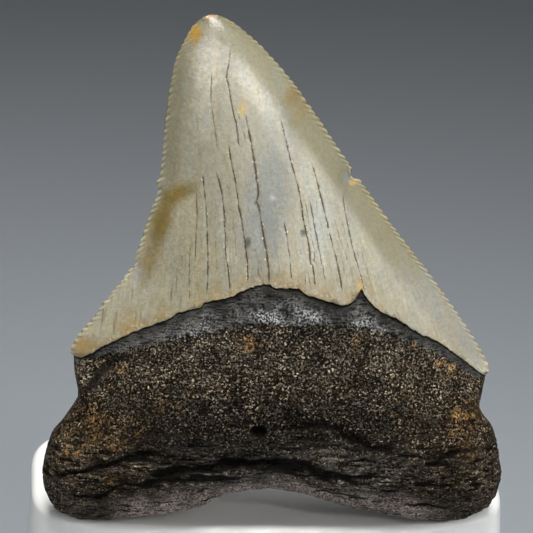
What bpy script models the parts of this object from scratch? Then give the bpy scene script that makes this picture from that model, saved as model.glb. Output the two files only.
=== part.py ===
"""Fossil shark tooth standing on a small white display block.

The tooth grew as one piece: a pale enamelled crown with serrated cutting edges, over a dark two-lobed root.
The block is a smooth moulded stand with rounded ends, and the tooth rests on it by its two root lobes.

Metres, +Z up. The tooth's thick inner face looks towards -Y. The origin is the centre of the block's underside.
"""

import math

import bmesh
import bpy
import numpy as np
from mathutils import Vector, noise

MM = 0.001

# ---- The tooth, in millimetres. X runs across it, Z from the lobes' lowest level to the tip. ----

# Cutting edges, from the enamel's lower corner to the tip.
LEFT_EDGE = [
    (-20.7, 18.0), (-21.0, 18.6), (-20.2, 20.2), (-18.8, 21.9), (-17.0, 24.4), (-15.1, 26.9), (-14.0, 29.6),
    (-13.0, 32.8), (-12.0, 36.2), (-11.7, 38.6), (-11.3, 43.7), (-10.9, 47.1), (-10.4, 49.7), (-9.2, 52.2),
    (-8.4, 53.7), (-7.7, 54.25),
]
RIGHT_EDGE = [
    (23.0, 16.2), (23.2, 16.9), (22.5, 18.6), (20.3, 22.0), (16.6, 27.1), (12.6, 32.2), (7.8, 38.9),
    (2.55, 46.5), (-1.0, 50.7), (-2.9, 52.4), (-4.5, 53.8), (-5.6, 54.25),
]
TIP = [(-7.7, 54.25), (-6.65, 54.4), (-5.6, 54.25)]

# The enamel's lower border, from left to right.
ENAMEL_LINE = [
    (-20.7, 18.0), (-19.6, 18.0), (-17.5, 19.5), (-14.0, 21.4), (-11.4, 22.6), (-8.7, 23.9), (-7.1, 24.7),
    (-4.2, 25.4), (-1.0, 27.0), (1.1, 26.3), (3.0, 26.5), (4.4, 25.6), (6.3, 24.9), (7.8, 24.5),
    (8.6, 25.0), (9.3, 26.4), (10.0, 25.3), (11.2, 23.9), (14.2, 22.4), (16.2, 20.8), (19.6, 18.6),
    (22.2, 16.5), (23.0, 16.2),
]

# The root's sides, from the enamel down to the end of each lobe, and its underside between them.
ROOT_LEFT = [
    (-20.7, 18.0), (-20.6, 16.3), (-20.2, 13.9), (-20.7, 12.7), (-21.8, 11.0), (-22.9, 9.6), (-23.7, 6.8),
    (-23.8, 4.0), (-23.05, 1.9),
]
ROOT_RIGHT = [
    (23.0, 16.2), (22.6, 14.0), (22.4, 12.9), (22.8, 11.9), (23.9, 10.4), (24.5, 8.2), (24.9, 5.5),
    (24.7, 3.5), (23.8, 1.7),
]
UNDERSIDE = [
    (-23.05, 1.9), (-21.9, 0.75), (-19.8, 0.1), (-17.4, 0.0), (-14.6, 0.4), (-11.3, 0.7), (-7.4, 1.5),
    (-5.1, 2.8), (-2.6, 3.4), (0.1, 3.7), (2.5, 3.5), (4.9, 2.8), (8.0, 1.8), (12.0, 1.0), (15.6, 0.3),
    (18.8, 0.0), (21.5, 0.5), (23.8, 1.7),
]

# How far each face swells from the plane of the cutting edges, in the middle of the tooth: (Z, depth).
INNER_FACE = [
    (0.0, 5.4), (3.0, 6.5), (6.0, 7.4), (10.0, 7.9), (14.0, 7.7), (18.0, 7.2), (23.0, 6.6), (28.0, 5.9),
    (34.0, 5.0), (40.0, 3.9), (46.0, 2.8), (50.0, 2.0), (54.4, 1.3),
]
OUTER_FACE = [
    (0.0, 2.8), (5.0, 3.1), (12.0, 2.9), (18.0, 2.4), (24.0, 2.3), (34.0, 1.9), (44.0, 1.2), (50.0, 0.9),
    (54.4, 0.6),
]
LOBE_THICKNESS = 0.72  # of the root's middle, at the end of each lobe
BLADE_POWER = 1.08  # above 1 thins the crown towards its cutting edges
NECK_TOP = 18.5  # below this height the blade thickens into the root
NECK_FOOT = 9.0
INNER_ROUNDING = 5.2  # how far in from its outline the root's inner face is rounded over
OUTER_ROUNDING = 2.2
TIP_ROUNDING = 1.3

# The middle plane of the tooth bends a little: (Z, Y).
BEND = [(0.0, 1.1), (12.0, 0.2), (22.0, 0.0), (38.0, -0.3), (54.4, -0.9)]

SERRATIONS = 54  # along each cutting edge
SERRATION_HEIGHT = 0.17
ENAMEL_STEP = 0.16  # the enamel stands this far proud of the root
STEP_DROP = 0.004  # of the root's height, over which that step falls

# Breaks in the cutting edges: (side, Z, depth into the edge, half-length). A negative depth stands out.
CHIPS = [
    ("right", 37.2, 0.7, 0.55),
    ("left", 28.0, 0.3, 0.6),
    ("left", 36.6, -0.25, 0.5),
    ("left", 35.2, 0.2, 0.8),
]

# Grooves in the root's inner face: (points, depth, half-width).
GROOVES = [
    ([(-13.9, 5.9), (-11.2, 6.9), (-9.0, 7.7), (-3.5, 8.1), (2.7, 8.0), (4.9, 6.6), (6.9, 5.7)], 0.75, 0.7),
    ([(-23.2, 5.1), (-20.8, 6.3), (-16.9, 7.6), (-14.8, 8.5)], 0.35, 0.6),
    ([(-19.9, 14.5), (-18.5, 15.5), (-17.4, 17.1), (-15.1, 18.9)], 0.5, 0.6),
    ([(8.4, 10.1), (10.8, 10.0), (13.5, 9.7)], 0.3, 0.6),
]
LUMP_HEIGHT = 0.34
LUMP_SIZE = 3.1

CROWN_COLUMNS = 26
ROOT_ROWS = 21
RIM_CLUSTERING = 0.6  # 0 spaces the columns evenly, 1 gathers them at the outline

# ---- The stand, in millimetres. ----

STAND_WIDTH = 51.0
STAND_DEPTH = 28.0
STAND_HEIGHT = 22.0
STAND_SQUARENESS = 4.0  # the plan is a superellipse: 2 is an oval, higher is squarer
STAND_DRAFT = 3.0  # degrees by which each side spreads towards the bottom
STAND_EDGE = 0.8  # rounding of the top edge
STAND_FOOT = 0.4  # chamfer under the foot
STAND_OUTLINE_POINTS = 72
STAND_EDGE_STEPS = 4

# ---- How the tooth rests on the stand. ----

LEAN = 10.0  # degrees, backwards
TOOTH_ASIDE = -0.45  # of the tooth's own centre line from the stand's
TOOTH_SET_BACK = 1.9  # from the front of the stand's top to the line where the lobes touch it
RESTING_GAP = 0.25


def clear_scene():
    """Removes what Blender's startup scene holds."""
    for obj in list(bpy.data.objects):
        bpy.data.objects.remove(obj, do_unlink=True)


def principled(name, colour, roughness, metallic=0.0):
    """Returns a material with one Principled BSDF."""
    material = bpy.data.materials.new(name)
    material.use_nodes = True
    shader = material.node_tree.nodes["Principled BSDF"]
    shader.inputs["Base Color"].default_value = (*colour, 1.0)
    shader.inputs["Roughness"].default_value = roughness
    shader.inputs["Metallic"].default_value = metallic
    return material


def smooth_curve(points, steps=10):
    """A Catmull-Rom curve through the points, as a fine polyline."""
    given = np.array(points, float)
    padded = np.vstack([2 * given[0] - given[1], given, 2 * given[-1] - given[-2]])
    t = np.linspace(0, 1, steps, endpoint=False)[:, None]
    spans = [
        0.5 * (2 * b + (c - a) * t + (2 * a - 5 * b + 4 * c - d) * t**2 + (3 * b - a - 3 * c + d) * t**3)
        for a, b, c, d in zip(padded, padded[1:], padded[2:], padded[3:])
    ]
    return np.vstack([*spans, given[-1:]])


def along(curve, fractions):
    """The points at these fractions of a polyline's length."""
    steps = np.linalg.norm(np.diff(curve, axis=0), axis=1)
    reached = np.concatenate([[0], np.cumsum(steps)])
    wanted = np.asarray(fractions) * reached[-1]
    return np.column_stack([np.interp(wanted, reached, curve[:, axis]) for axis in range(2)])


def profile(stations, at):
    """A smooth value between (place, value) stations."""
    curve = smooth_curve(stations)
    return np.interp(at, curve[:, 0], curve[:, 1])


def distance_to(curve, points):
    """The distance in the plane from each point to a polyline."""
    nearest = np.full(points.shape[:-1], np.inf)
    for start, end in zip(curve, curve[1:]):
        run = end - start
        share = np.clip(((points - start) @ run) / max(run @ run, 1e-12), 0, 1)
        gap = np.linalg.norm(points - (start + share[..., None] * run), axis=-1)
        nearest = np.minimum(nearest, gap)
    return nearest


def smoothstep(low, high, value):
    share = np.clip((value - low) / (high - low), 0, 1)
    return share * share * (3 - 2 * share)


def coons_patch(left, right, low, high, rows, columns):
    """Fills the space between four edges. rows and columns run from 0 to 1."""
    s, t = rows[:, None, None], columns[None, :, None]
    sides = (1 - t) * left[:, None] + t * right[:, None]
    ends = (1 - s) * low[None] + s * high[None]
    corners = (1 - s) * ((1 - t) * low[0] + t * low[-1]) + s * ((1 - t) * high[0] + t * high[-1])
    return sides + ends - corners


def column_places():
    """The columns' places across the tooth, gathered towards its outline."""
    even = np.linspace(0, 1, CROWN_COLUMNS + 1)
    gathered = 0.5 - 0.5 * np.cos(np.pi * even)
    return even + RIM_CLUSTERING * (gathered - even)


def outline_side(root_points, edge_points):
    """One side of the tooth, from its lobe's widest point to the tip."""
    root = smooth_curve(root_points)
    widest = np.argmax(abs(root[:, 0]))
    return np.vstack([root[: widest + 1][::-1], smooth_curve(edge_points)])


LEFT_SIDE = outline_side(ROOT_LEFT, LEFT_EDGE)
RIGHT_SIDE = outline_side(ROOT_RIGHT, RIGHT_EDGE)
ROOT_OUTLINE = np.vstack([smooth_curve(ROOT_LEFT), smooth_curve(UNDERSIDE), smooth_curve(ROOT_RIGHT)[::-1]])


def face_depth(plane, stations, rounding):
    """How far a face stands from the middle plane at each point of a grid."""
    x, z = plane[..., 0], plane[..., 1]
    left = np.interp(z, LEFT_SIDE[:, 1], LEFT_SIDE[:, 0])
    right = np.interp(z, RIGHT_SIDE[:, 1], RIGHT_SIDE[:, 0])
    across = 1 - (2 * np.clip((x - left) / (right - left), 0, 1) - 1) ** 2
    lobed = smoothstep(NECK_TOP, NECK_FOOT, z)
    share = (1 - lobed) * across**BLADE_POWER + lobed * (LOBE_THICKNESS + (1 - LOBE_THICKNESS) * across)
    share *= quarter_round(distance_to(ROOT_OUTLINE, plane), rounding * lobed + 1e-3)
    share *= quarter_round(TIP[1][1] - z, TIP_ROUNDING)
    return profile(stations, z) * share


def quarter_round(inwards, radius):
    """Rises from 0 at an edge to 1 a radius in, as a quarter of an ellipse."""
    return np.sqrt(1 - (1 - np.clip(inwards / radius, 0, 1)) ** 2)


def inward_normals(edge, side):
    tangent = np.gradient(edge, axis=0)
    inward = np.column_stack([tangent[:, 1], -tangent[:, 0]])
    inward /= np.linalg.norm(inward, axis=1)[:, None]
    return inward if side == "left" else -inward


def chipped(points, sides):
    """Pushes points in or out around each break in a cutting edge."""
    moved = points.copy()
    for side, height, depth, half_length in CHIPS:
        edge = sides[side]
        nearest = np.argmin(abs(edge[:, 1] - height))
        inward = inward_normals(edge, side)[nearest]
        gap = np.linalg.norm(points - edge[nearest], axis=-1)
        moved += inward * (depth * np.exp(-((gap / half_length) ** 2)))[..., None]
    return moved


def crown_grid():
    """The crown's grid in the plane, its two depths, and the serrations' points on each side."""
    columns = column_places()
    rows = np.linspace(0, 1, SERRATIONS + 1)
    fine_rows = np.linspace(0, 1, 2 * SERRATIONS + 1)
    edges = {"left": LEFT_EDGE, "right": RIGHT_EDGE}
    sides = {side: along(smooth_curve(points), fine_rows) for side, points in edges.items()}
    low = along(smooth_curve(ENAMEL_LINE), columns)
    high = along(smooth_curve(TIP), columns)
    plane = coons_patch(sides["left"][::2], sides["right"][::2], low, high, rows, columns)
    depths = [
        face_depth(plane, INNER_FACE, INNER_ROUNDING),
        face_depth(plane, OUTER_FACE, OUTER_ROUNDING),
    ]

    fade = smoothstep(0.0, 0.04, fine_rows) * smoothstep(1.0, 0.97, fine_rows)
    crest = np.where(np.arange(len(fine_rows)) % 2 == 1, -0.5, 0.5) * SERRATION_HEIGHT * fade
    serrated = {
        side: chipped(edge + inward_normals(edge, side) * crest[:, None], sides)
        for side, edge in sides.items()
    }
    plane = chipped(plane, sides)
    plane[:, 0], plane[:, -1] = serrated["left"][::2], serrated["right"][::2]
    return plane, depths, {side: edge[1::2] for side, edge in serrated.items()}


def root_grid():
    """The root's grid in the plane, from the enamel down to its underside, and its two depths."""
    columns = column_places()
    spread = np.linspace(0, 1, ROOT_ROWS)
    eased = 0.35 * spread + 0.65 * np.sin(0.5 * np.pi * spread)
    rows = np.concatenate([[0.0], STEP_DROP + (1 - STEP_DROP) * eased])
    left, right = (along(smooth_curve(side), rows) for side in (ROOT_LEFT, ROOT_RIGHT))
    enamel, underside = (along(smooth_curve(line), columns) for line in (ENAMEL_LINE, UNDERSIDE))
    plane = coons_patch(left, right, enamel, underside, rows, columns)

    inwards = distance_to(ROOT_OUTLINE, plane)
    below_enamel = rows[:, None] > 0
    step = ENAMEL_STEP * smoothstep(0, 1.5, inwards) * below_enamel
    body = smoothstep(0.2, 2.2, inwards) * below_enamel
    cuts = sum(
        depth * np.exp(-((distance_to(smooth_curve(points), plane) / half_width) ** 2))
        for points, depth, half_width in GROOVES
    )
    inner = face_depth(plane, INNER_FACE, INNER_ROUNDING) - step + body * (lumps(plane, 0.0) - cuts)
    outer = face_depth(plane, OUTER_FACE, OUTER_ROUNDING) - step + body * lumps(plane, 31.0)
    return plane, [inner, outer]


def lumps(plane, seed):
    """Low uneven swellings of the root's surface."""
    rise = [noise.noise(Vector((x / LUMP_SIZE, seed, z / LUMP_SIZE))) for x, z in plane.reshape(-1, 2)]
    return LUMP_HEIGHT * np.reshape(rise, plane.shape[:2])


def add_points(mesh, plane, depth):
    """Adds a vertex at each point of a grid or a row, this far from the bent middle plane."""
    y = profile(BEND, plane[..., 1]) + depth
    grid = np.empty(y.shape, object)
    for place in np.ndindex(y.shape):
        x, z = plane[place]
        grid[place] = mesh.verts.new((x * MM, y[place] * MM, z * MM))
    return grid


def build_tooth():
    """The tooth in its own upright frame, as one closed mesh."""
    crown_plane, crown_depths, crests = crown_grid()
    root_plane, root_depths = root_grid()
    enamel, root = 0, 1
    mesh = bmesh.new()
    rims = {side: add_points(mesh, points, 0.0) for side, points in crests.items()}
    crown_rim = add_points(mesh, crown_plane, 0.0)
    root_rim = add_points(mesh, root_plane, 0.0)
    for sign, crown_depth, root_depth in zip((-1, 1), crown_depths, root_depths):
        crown = add_points(mesh, crown_plane, sign * crown_depth)
        crown[:, 0], crown[:, -1], crown[-1] = crown_rim[:, 0], crown_rim[:, -1], crown_rim[-1]
        below = add_points(mesh, root_plane, sign * root_depth)
        below[:, 0], below[:, -1], below[-1] = root_rim[:, 0], root_rim[:, -1], root_rim[-1]
        below[0] = crown[0]
        add_quads(mesh, crown[:, 1:-1], enamel, sign)
        add_quads(mesh, below[::-1], root, sign)
        add_serrated_strip(mesh, crown[:, 0], crown[:, 1], rims["left"], enamel, sign)
        add_serrated_strip(mesh, crown[:, -1], crown[:, -2], rims["right"], enamel, -sign)

    bmesh.ops.delete(mesh, geom=[v for v in mesh.verts if not v.link_faces], context="VERTS")
    bmesh.ops.recalc_face_normals(mesh, faces=mesh.faces)
    return mesh


def add_quads(mesh, grid, material_index, sign):
    for low, high in zip(grid, grid[1:]):
        for a, b, c, d in zip(low, low[1:], high[1:], high):
            face = mesh.faces.new((a, b, c, d) if sign < 0 else (d, c, b, a))
            face.material_index = material_index


def add_serrated_strip(mesh, edge, inside, crests, material_index, sign):
    """Joins a cutting edge, which has a crest between each two rows, to the column beside it."""
    for i, crest in enumerate(crests):
        triangles = [(edge[i], inside[i], crest), (crest, inside[i], inside[i + 1])]
        if i < len(crests) - 1:  # the rim cuts the corner at the tip
            triangles.append((crest, inside[i + 1], edge[i + 1]))
        for corners in triangles:
            face = mesh.faces.new(corners if sign < 0 else corners[::-1])
            face.material_index = material_index


def superellipse(half_width, half_depth):
    """The stand's plan, anticlockwise from +X."""
    points = []
    for k in range(STAND_OUTLINE_POINTS):
        turn = 2 * math.pi * k / STAND_OUTLINE_POINTS
        power = 2 / STAND_SQUARENESS
        c, s = math.cos(turn), math.sin(turn)
        x = half_width * math.copysign(abs(c) ** power, c)
        y = half_depth * math.copysign(abs(s) ** power, s)
        points.append((x, y))
    return points


def build_stand():
    """The block: a superellipse in plan, spreading downwards, with a rounded top edge."""
    mesh = bmesh.new()
    spread = math.tan(math.radians(STAND_DRAFT))
    levels = [(STAND_FOOT, 0.0), (0.0, STAND_FOOT)]
    for step in range(STAND_EDGE_STEPS + 1):
        turn = 0.5 * math.pi * step / STAND_EDGE_STEPS
        levels.append((STAND_EDGE * (1 - math.cos(turn)), STAND_HEIGHT - STAND_EDGE * (1 - math.sin(turn))))
    rings = []
    for inset, z in levels:
        wider = spread * (STAND_HEIGHT - z) - inset
        outline = superellipse(STAND_WIDTH / 2 + wider, STAND_DEPTH / 2 + wider)
        rings.append([mesh.verts.new((x * MM, y * MM, z * MM)) for x, y in outline])
    for low, high in zip(rings, rings[1:]):
        for k in range(STAND_OUTLINE_POINTS):
            after = (k + 1) % STAND_OUTLINE_POINTS
            mesh.faces.new((low[k], low[after], high[after], high[k]))
    mesh.faces.new(rings[0][::-1])
    mesh.faces.new(rings[-1])
    bmesh.ops.recalc_face_normals(mesh, faces=mesh.faces)
    return mesh


def make_object(name, mesh, materials, sharp_degrees):
    """Turns a bmesh into a named object, shaded smooth but for its sharp edges."""
    data = bpy.data.meshes.new(name)
    mesh.to_mesh(data)
    mesh.free()
    for material in materials:
        data.materials.append(material)
    data.shade_smooth()
    data.set_sharp_from_angle(angle=math.radians(sharp_degrees))
    obj = bpy.data.objects.new(name, data)
    bpy.context.scene.collection.objects.link(obj)
    return obj


def rest_on_stand(tooth):
    """Leans the tooth back and sets its lowest point just above the stand's top."""
    lean = math.radians(LEAN)
    tooth.rotation_euler = (-lean, 0.0, 0.0)
    leaned = [
        (v.co.y * math.cos(lean) + v.co.z * math.sin(lean), v.co.z * math.cos(lean) - v.co.y * math.sin(lean))
        for v in tooth.data.vertices
    ]
    touch_y, lowest = min(leaned, key=lambda place: place[1])
    tooth.location = (
        TOOTH_ASIDE * MM,
        (-STAND_DEPTH / 2 + TOOTH_SET_BACK) * MM - touch_y,
        (STAND_HEIGHT + RESTING_GAP) * MM - lowest,
    )


def main():
    clear_scene()
    stand_plastic = principled("white_plastic", (0.86, 0.86, 0.84), 0.28)
    enamel = principled("fossil_enamel", (0.52, 0.49, 0.38), 0.32)
    root = principled("fossil_root", (0.045, 0.036, 0.028), 0.62)
    make_object("stand", build_stand(), [stand_plastic], 50)
    rest_on_stand(make_object("tooth", build_tooth(), [enamel, root], 60))


main()
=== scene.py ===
"""A fossil shark tooth resting on a small white display block, dressed in full detail.

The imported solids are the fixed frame. Two pieces are modelled here and stand for them: the tooth, with its beaded
cutting edges, cracked enamel and porous fibrous root, and the moulded block. A floor, lights and a camera complete it.

The tooth is shaped in its own upright frame in millimetres, X across it and Z up to its tip, with its thick inner
face towards -Y. It is then leaned back and set on the block, in metres.
"""

import logging
import math
from collections.abc import Sequence
from dataclasses import dataclass, field
from enum import Enum
from functools import cache
from itertools import pairwise

import bpy
import numpy as np
from mathutils import Matrix, Vector, noise


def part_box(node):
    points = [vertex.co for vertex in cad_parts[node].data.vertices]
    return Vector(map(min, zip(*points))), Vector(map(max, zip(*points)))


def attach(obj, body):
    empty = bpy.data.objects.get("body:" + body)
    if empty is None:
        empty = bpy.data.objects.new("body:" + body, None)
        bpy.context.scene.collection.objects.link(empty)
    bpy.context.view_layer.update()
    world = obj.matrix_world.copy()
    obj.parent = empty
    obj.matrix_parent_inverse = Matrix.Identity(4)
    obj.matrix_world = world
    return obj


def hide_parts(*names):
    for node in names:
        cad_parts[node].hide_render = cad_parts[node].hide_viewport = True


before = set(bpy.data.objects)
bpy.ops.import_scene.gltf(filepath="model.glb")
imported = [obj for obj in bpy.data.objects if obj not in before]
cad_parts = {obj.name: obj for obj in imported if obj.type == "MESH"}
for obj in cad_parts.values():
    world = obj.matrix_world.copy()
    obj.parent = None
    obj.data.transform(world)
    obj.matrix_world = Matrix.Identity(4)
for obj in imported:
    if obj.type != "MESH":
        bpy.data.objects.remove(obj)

log = logging.getLogger("tooth")

MM = 0.001
FACE_BUDGET = 194_000  # triangles in the finished tooth
FAR = 99.0  # millimetres: farther than anything on the tooth

Point = tuple[float, float]
Path = tuple[Point, ...]
Colour = tuple[float, float, float]


class Face(Enum):
    """A face of the tooth. The value is the sign of Y on it."""

    INNER = -1
    OUTER = 1


class Edge(Enum):
    """A cutting edge of the tooth. The value is the sign of X on it."""

    LEFT = -1
    RIGHT = 1


class Part(Enum):
    """A part of the tooth with a finish of its own. The value is its material slot."""

    CROWN = 0
    ROOT = 1


# ---- Curves and fields ----


def smooth_curve(points: Sequence[Point], steps: int = 10) -> np.ndarray:
    """Draws a Catmull-Rom curve through points, as a fine polyline.

    Args:
        points: The points that the curve passes through.
        steps: How many segments each span gets.

    Returns:
        The polyline, one row for each of its points.
    """
    given = np.array(points, float)
    padded = np.vstack([2 * given[0] - given[1], given, 2 * given[-1] - given[-2]])
    t = np.linspace(0, 1, steps, endpoint=False)[:, None]
    spans = [
        0.5 * (2 * b + (c - a) * t + (2 * a - 5 * b + 4 * c - d) * t**2 + (3 * b - a - 3 * c + d) * t**3)
        for a, b, c, d in zip(padded, padded[1:], padded[2:], padded[3:])
    ]
    return np.vstack([*spans, given[-1:]])


def along(curve: np.ndarray, fractions: np.ndarray) -> np.ndarray:
    """Finds points on a polyline.

    Args:
        curve: The polyline.
        fractions: Shares of its length, from 0 to 1.

    Returns:
        The point at each share.
    """
    reached = np.concatenate([[0], np.cumsum(np.linalg.norm(np.diff(curve, axis=0), axis=1))])
    wanted = fractions * reached[-1]
    return np.column_stack([np.interp(wanted, reached, curve[:, axis]) for axis in range(2)])


def profile(stations: Sequence[Point], at: np.ndarray) -> np.ndarray:
    """Reads a smooth value between stations.

    Args:
        stations: Places and their values, in order of place.
        at: Where to read.

    Returns:
        The value at each place.
    """
    curve = smooth_curve(stations)
    return np.interp(at, curve[:, 0], curve[:, 1])


def distance_to(curve: np.ndarray, points: np.ndarray) -> np.ndarray:
    """Measures how far points in the plane are from a polyline.

    Args:
        curve: The polyline.
        points: The points, with X and Z last.

    Returns:
        The distance of each point.
    """
    nearest = np.full(points.shape[:-1], np.inf)
    for start, end in zip(curve, curve[1:]):
        run = end - start
        share = np.clip(((points - start) @ run) / max(run @ run, 1e-12), 0, 1)
        gap = points - (start + share[..., None] * run)
        nearest = np.minimum(nearest, np.hypot(gap[..., 0], gap[..., 1]))
    return nearest


def smoothstep(low: float, high: float, value: np.ndarray) -> np.ndarray:
    """Eases from 0 at low to 1 at high."""
    share = np.clip((value - low) / (high - low), 0, 1)
    return share * share * (3 - 2 * share)


def bell(gap: np.ndarray, size: float) -> np.ndarray:
    """Falls from 1 at no gap, as a bell curve of a size."""
    return np.exp(-((gap / size) ** 2))


def quarter_round(inwards: np.ndarray, radius: np.ndarray | float) -> np.ndarray:
    """Rises from 0 at an edge to 1 a radius in, as a quarter of an ellipse."""
    return np.sqrt(1 - (1 - np.clip(inwards / radius, 0, 1)) ** 2)


def gathered(count: int, share: float) -> np.ndarray:
    """Spaces places from 0 to 1.

    Args:
        count: How many steps there are.
        share: 0 spaces them evenly, 1 gathers them at both ends.

    Returns:
        The places, one more than the steps.
    """
    even = np.linspace(0, 1, count + 1)
    return even + share * (0.5 - 0.5 * np.cos(np.pi * even) - even)


def in_space(plane: np.ndarray, y: np.ndarray | float = 0.0) -> np.ndarray:
    """Puts points of the middle plane, with X and Z last, into space at Y."""
    return np.stack([plane[..., 0], np.broadcast_to(y, plane.shape[:-1]), plane[..., 1]], -1)


@dataclass(frozen=True)
class Texture:
    """Smooth noise of a height, with the size of its features along X, Y and Z.

    The seed moves it, for another pattern of the same kind. Each further octave adds a finer layer.
    """

    height: float
    size: tuple[float, float, float]
    seed: float
    octaves: int = 2

    def at(self, places: np.ndarray) -> np.ndarray:
        """Returns the noise, about 0, at places in space."""
        scaled = (places.reshape(-1, 3) / np.array(self.size, float) + self.seed).tolist()
        values = [noise.fractal(place, 1.0, 2.0, self.octaves) for place in scaled]
        return self.height * np.reshape(values, places.shape[:-1])


def coons_patch(
    left: np.ndarray, right: np.ndarray, low: np.ndarray, high: np.ndarray, rows: np.ndarray, columns: np.ndarray
) -> np.ndarray:
    """Fills the space between four edges.

    Args:
        left: The left edge, a point for each row.
        right: The right edge, a point for each row.
        low: The first row, a point for each column.
        high: The last row, a point for each column.
        rows: The rows' places, from 0 to 1.
        columns: The columns' places, from 0 to 1.

    Returns:
        The grid of points.
    """
    s, t = rows[:, None, None], columns[None, :, None]
    sides = (1 - t) * left[:, None] + t * right[:, None]
    ends = (1 - s) * low[None] + s * high[None]
    corners = (1 - s) * ((1 - t) * low[0] + t * low[-1]) + s * ((1 - t) * high[0] + t * high[-1])
    return sides + ends - corners


# ---- The tooth's form ----


@dataclass(frozen=True)
class Chip:
    """A break in a cutting edge.

    A negative depth stands out. A scoop is the hollow that the flake left in the inner face beside it.
    """

    edge: Edge
    height: float
    depth: float
    half_length: float
    scoop: float = 0.0
    scoop_centre: Point = (0.0, 0.0)
    scoop_size: Point = (1.0, 1.0)


@dataclass(frozen=True)
class Groove:
    """A furrow in the root's inner face."""

    path: Path
    depth: float
    half_width: float


@dataclass(frozen=True)
class Pit:
    """A hole in the root's inner face, such as the one where a blood vessel entered."""

    centre: Point
    depth: float
    half_width: float
    half_height: float


@dataclass(frozen=True)
class Hairline:
    """A crack in the enamel. Its path runs upwards."""

    path: Path
    width: float
    face: Face = Face.INNER


@dataclass(frozen=True)
class ToothForm:
    """The tooth's outline and thickness. Paths hold (X, Z), and stations hold (Z, value)."""

    left_edge: Path = (
        (-20.7, 18.0), (-21.0, 18.6), (-20.2, 20.2), (-18.8, 21.9), (-17.0, 24.4), (-15.1, 26.9), (-14.0, 29.6),
        (-13.0, 32.8), (-12.0, 36.2), (-11.7, 38.6), (-11.3, 43.7), (-10.9, 47.1), (-10.4, 49.7), (-9.5, 51.8),
        (-8.8, 53.1), (-8.0, 53.97),
    )
    right_edge: Path = (
        (23.0, 16.2), (23.2, 16.9), (22.5, 18.6), (20.3, 22.0), (16.6, 27.1), (12.6, 32.2), (7.8, 38.9),
        (2.55, 46.5), (-1.0, 50.7), (-2.9, 52.45), (-4.4, 53.65), (-5.6, 54.3),
    )
    tip: Path = ((-8.0, 53.97), (-7.5, 54.35), (-6.9, 54.55), (-6.2, 54.52), (-5.6, 54.3))
    top: float = 54.6
    inner_border: Path = (
        (-20.7, 18.0), (-19.6, 18.0), (-17.5, 19.5), (-14.0, 21.4), (-11.4, 22.6), (-9.8, 23.6), (-8.7, 24.0),
        (-7.6, 24.35), (-7.1, 24.9), (-5.7, 25.2), (-4.5, 25.6), (-3.5, 26.15), (-2.5, 26.6), (-1.5, 27.0),
        (-0.5, 27.0), (0.2, 26.65), (2.4, 26.65), (3.4, 26.0), (4.5, 25.65), (6.1, 25.05), (7.3, 24.75),
        (8.3, 25.0), (8.9, 25.9), (9.2, 26.35), (9.5, 25.8), (10.2, 24.9), (11.2, 23.9), (13.2, 22.9),
        (15.4, 21.3), (17.6, 20.2), (19.6, 18.7), (22.3, 16.6), (23.0, 16.2),
    )
    border_arch: Path = (
        (-20.7, 18.0), (-12.5, 22.0), (-1.5, 26.0), (8.5, 24.8), (16.2, 20.6), (23.0, 16.2),
    )
    outer_border: Path = (
        (-20.7, 18.0), (-19.0, 17.7), (-14.0, 18.9), (-8.0, 20.3), (-3.0, 21.3), (2.0, 21.5), (7.0, 20.7),
        (12.0, 19.0), (17.0, 17.2), (21.0, 16.1), (23.0, 16.2),
    )
    band_foot: Path = (
        (-20.7, 17.3), (-15.9, 19.0), (-9.7, 21.0), (-5.6, 22.1), (-1.0, 23.0), (2.7, 22.7), (5.7, 22.7),
        (9.3, 22.4), (13.4, 20.9), (17.8, 18.9), (21.7, 16.2), (23.0, 15.8),
    )
    root_left: Path = (
        (-20.7, 18.0), (-20.6, 16.3), (-20.2, 13.9), (-20.7, 12.7), (-21.8, 11.0), (-22.9, 9.6), (-23.7, 6.8),
        (-23.8, 4.0), (-23.05, 1.9),
    )
    root_right: Path = (
        (23.0, 16.2), (22.6, 14.0), (22.4, 12.9), (22.8, 11.9), (23.9, 10.4), (24.5, 8.2), (24.9, 5.5),
        (24.7, 3.5), (23.8, 1.7),
    )
    underside: Path = (
        (-23.05, 1.9), (-21.9, 0.75), (-19.8, 0.1), (-17.4, 0.0), (-14.6, 0.4), (-11.3, 0.7), (-7.4, 1.5),
        (-5.1, 2.8), (-2.6, 3.4), (0.1, 3.7), (2.5, 3.5), (4.9, 2.8), (8.0, 1.8), (12.0, 1.0), (15.6, 0.3),
        (18.8, 0.0), (21.5, 0.5), (23.8, 1.7),
    )
    inner_face: Path = (
        (0.0, 5.4), (3.0, 6.5), (6.0, 7.4), (10.0, 7.9), (14.0, 7.7), (18.0, 7.2), (23.0, 6.6), (28.0, 5.9),
        (34.0, 5.0), (40.0, 3.9), (46.0, 2.75), (50.0, 1.85), (54.4, 0.95),
    )
    outer_face: Path = (
        (0.0, 2.8), (5.0, 3.1), (12.0, 2.9), (18.0, 2.4), (24.0, 2.3), (34.0, 1.9), (44.0, 1.2), (50.0, 0.9),
        (54.4, 0.6),
    )
    bend: Path = ((0.0, 1.1), (12.0, 0.2), (22.0, 0.0), (38.0, -0.3), (54.4, -0.9))
    lobe_thickness: float = 0.72  # at a lobe's side, as a share of the middle's
    blade_power: float = 1.08  # how sharply the crown thins towards its edges
    neck_top: float = 18.5  # the crown's section becomes the lobes' from here
    neck_foot: float = 9.0  # down to here
    inner_rounding: float = 5.2
    outer_rounding: float = 2.2
    tip_rounding: float = 2.0

    def edge(self, edge: Edge, steps: int = 10) -> np.ndarray:
        """Returns a cutting edge as a polyline, with as many steps as given between its points."""
        return smooth_curve(self.left_edge if edge is Edge.LEFT else self.right_edge, steps)

    def border(self, face: Face) -> np.ndarray:
        """Returns the enamel's lower border on a face as a fine polyline."""
        return smooth_curve(self.inner_border if face is Face.INNER else self.outer_border)

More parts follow.
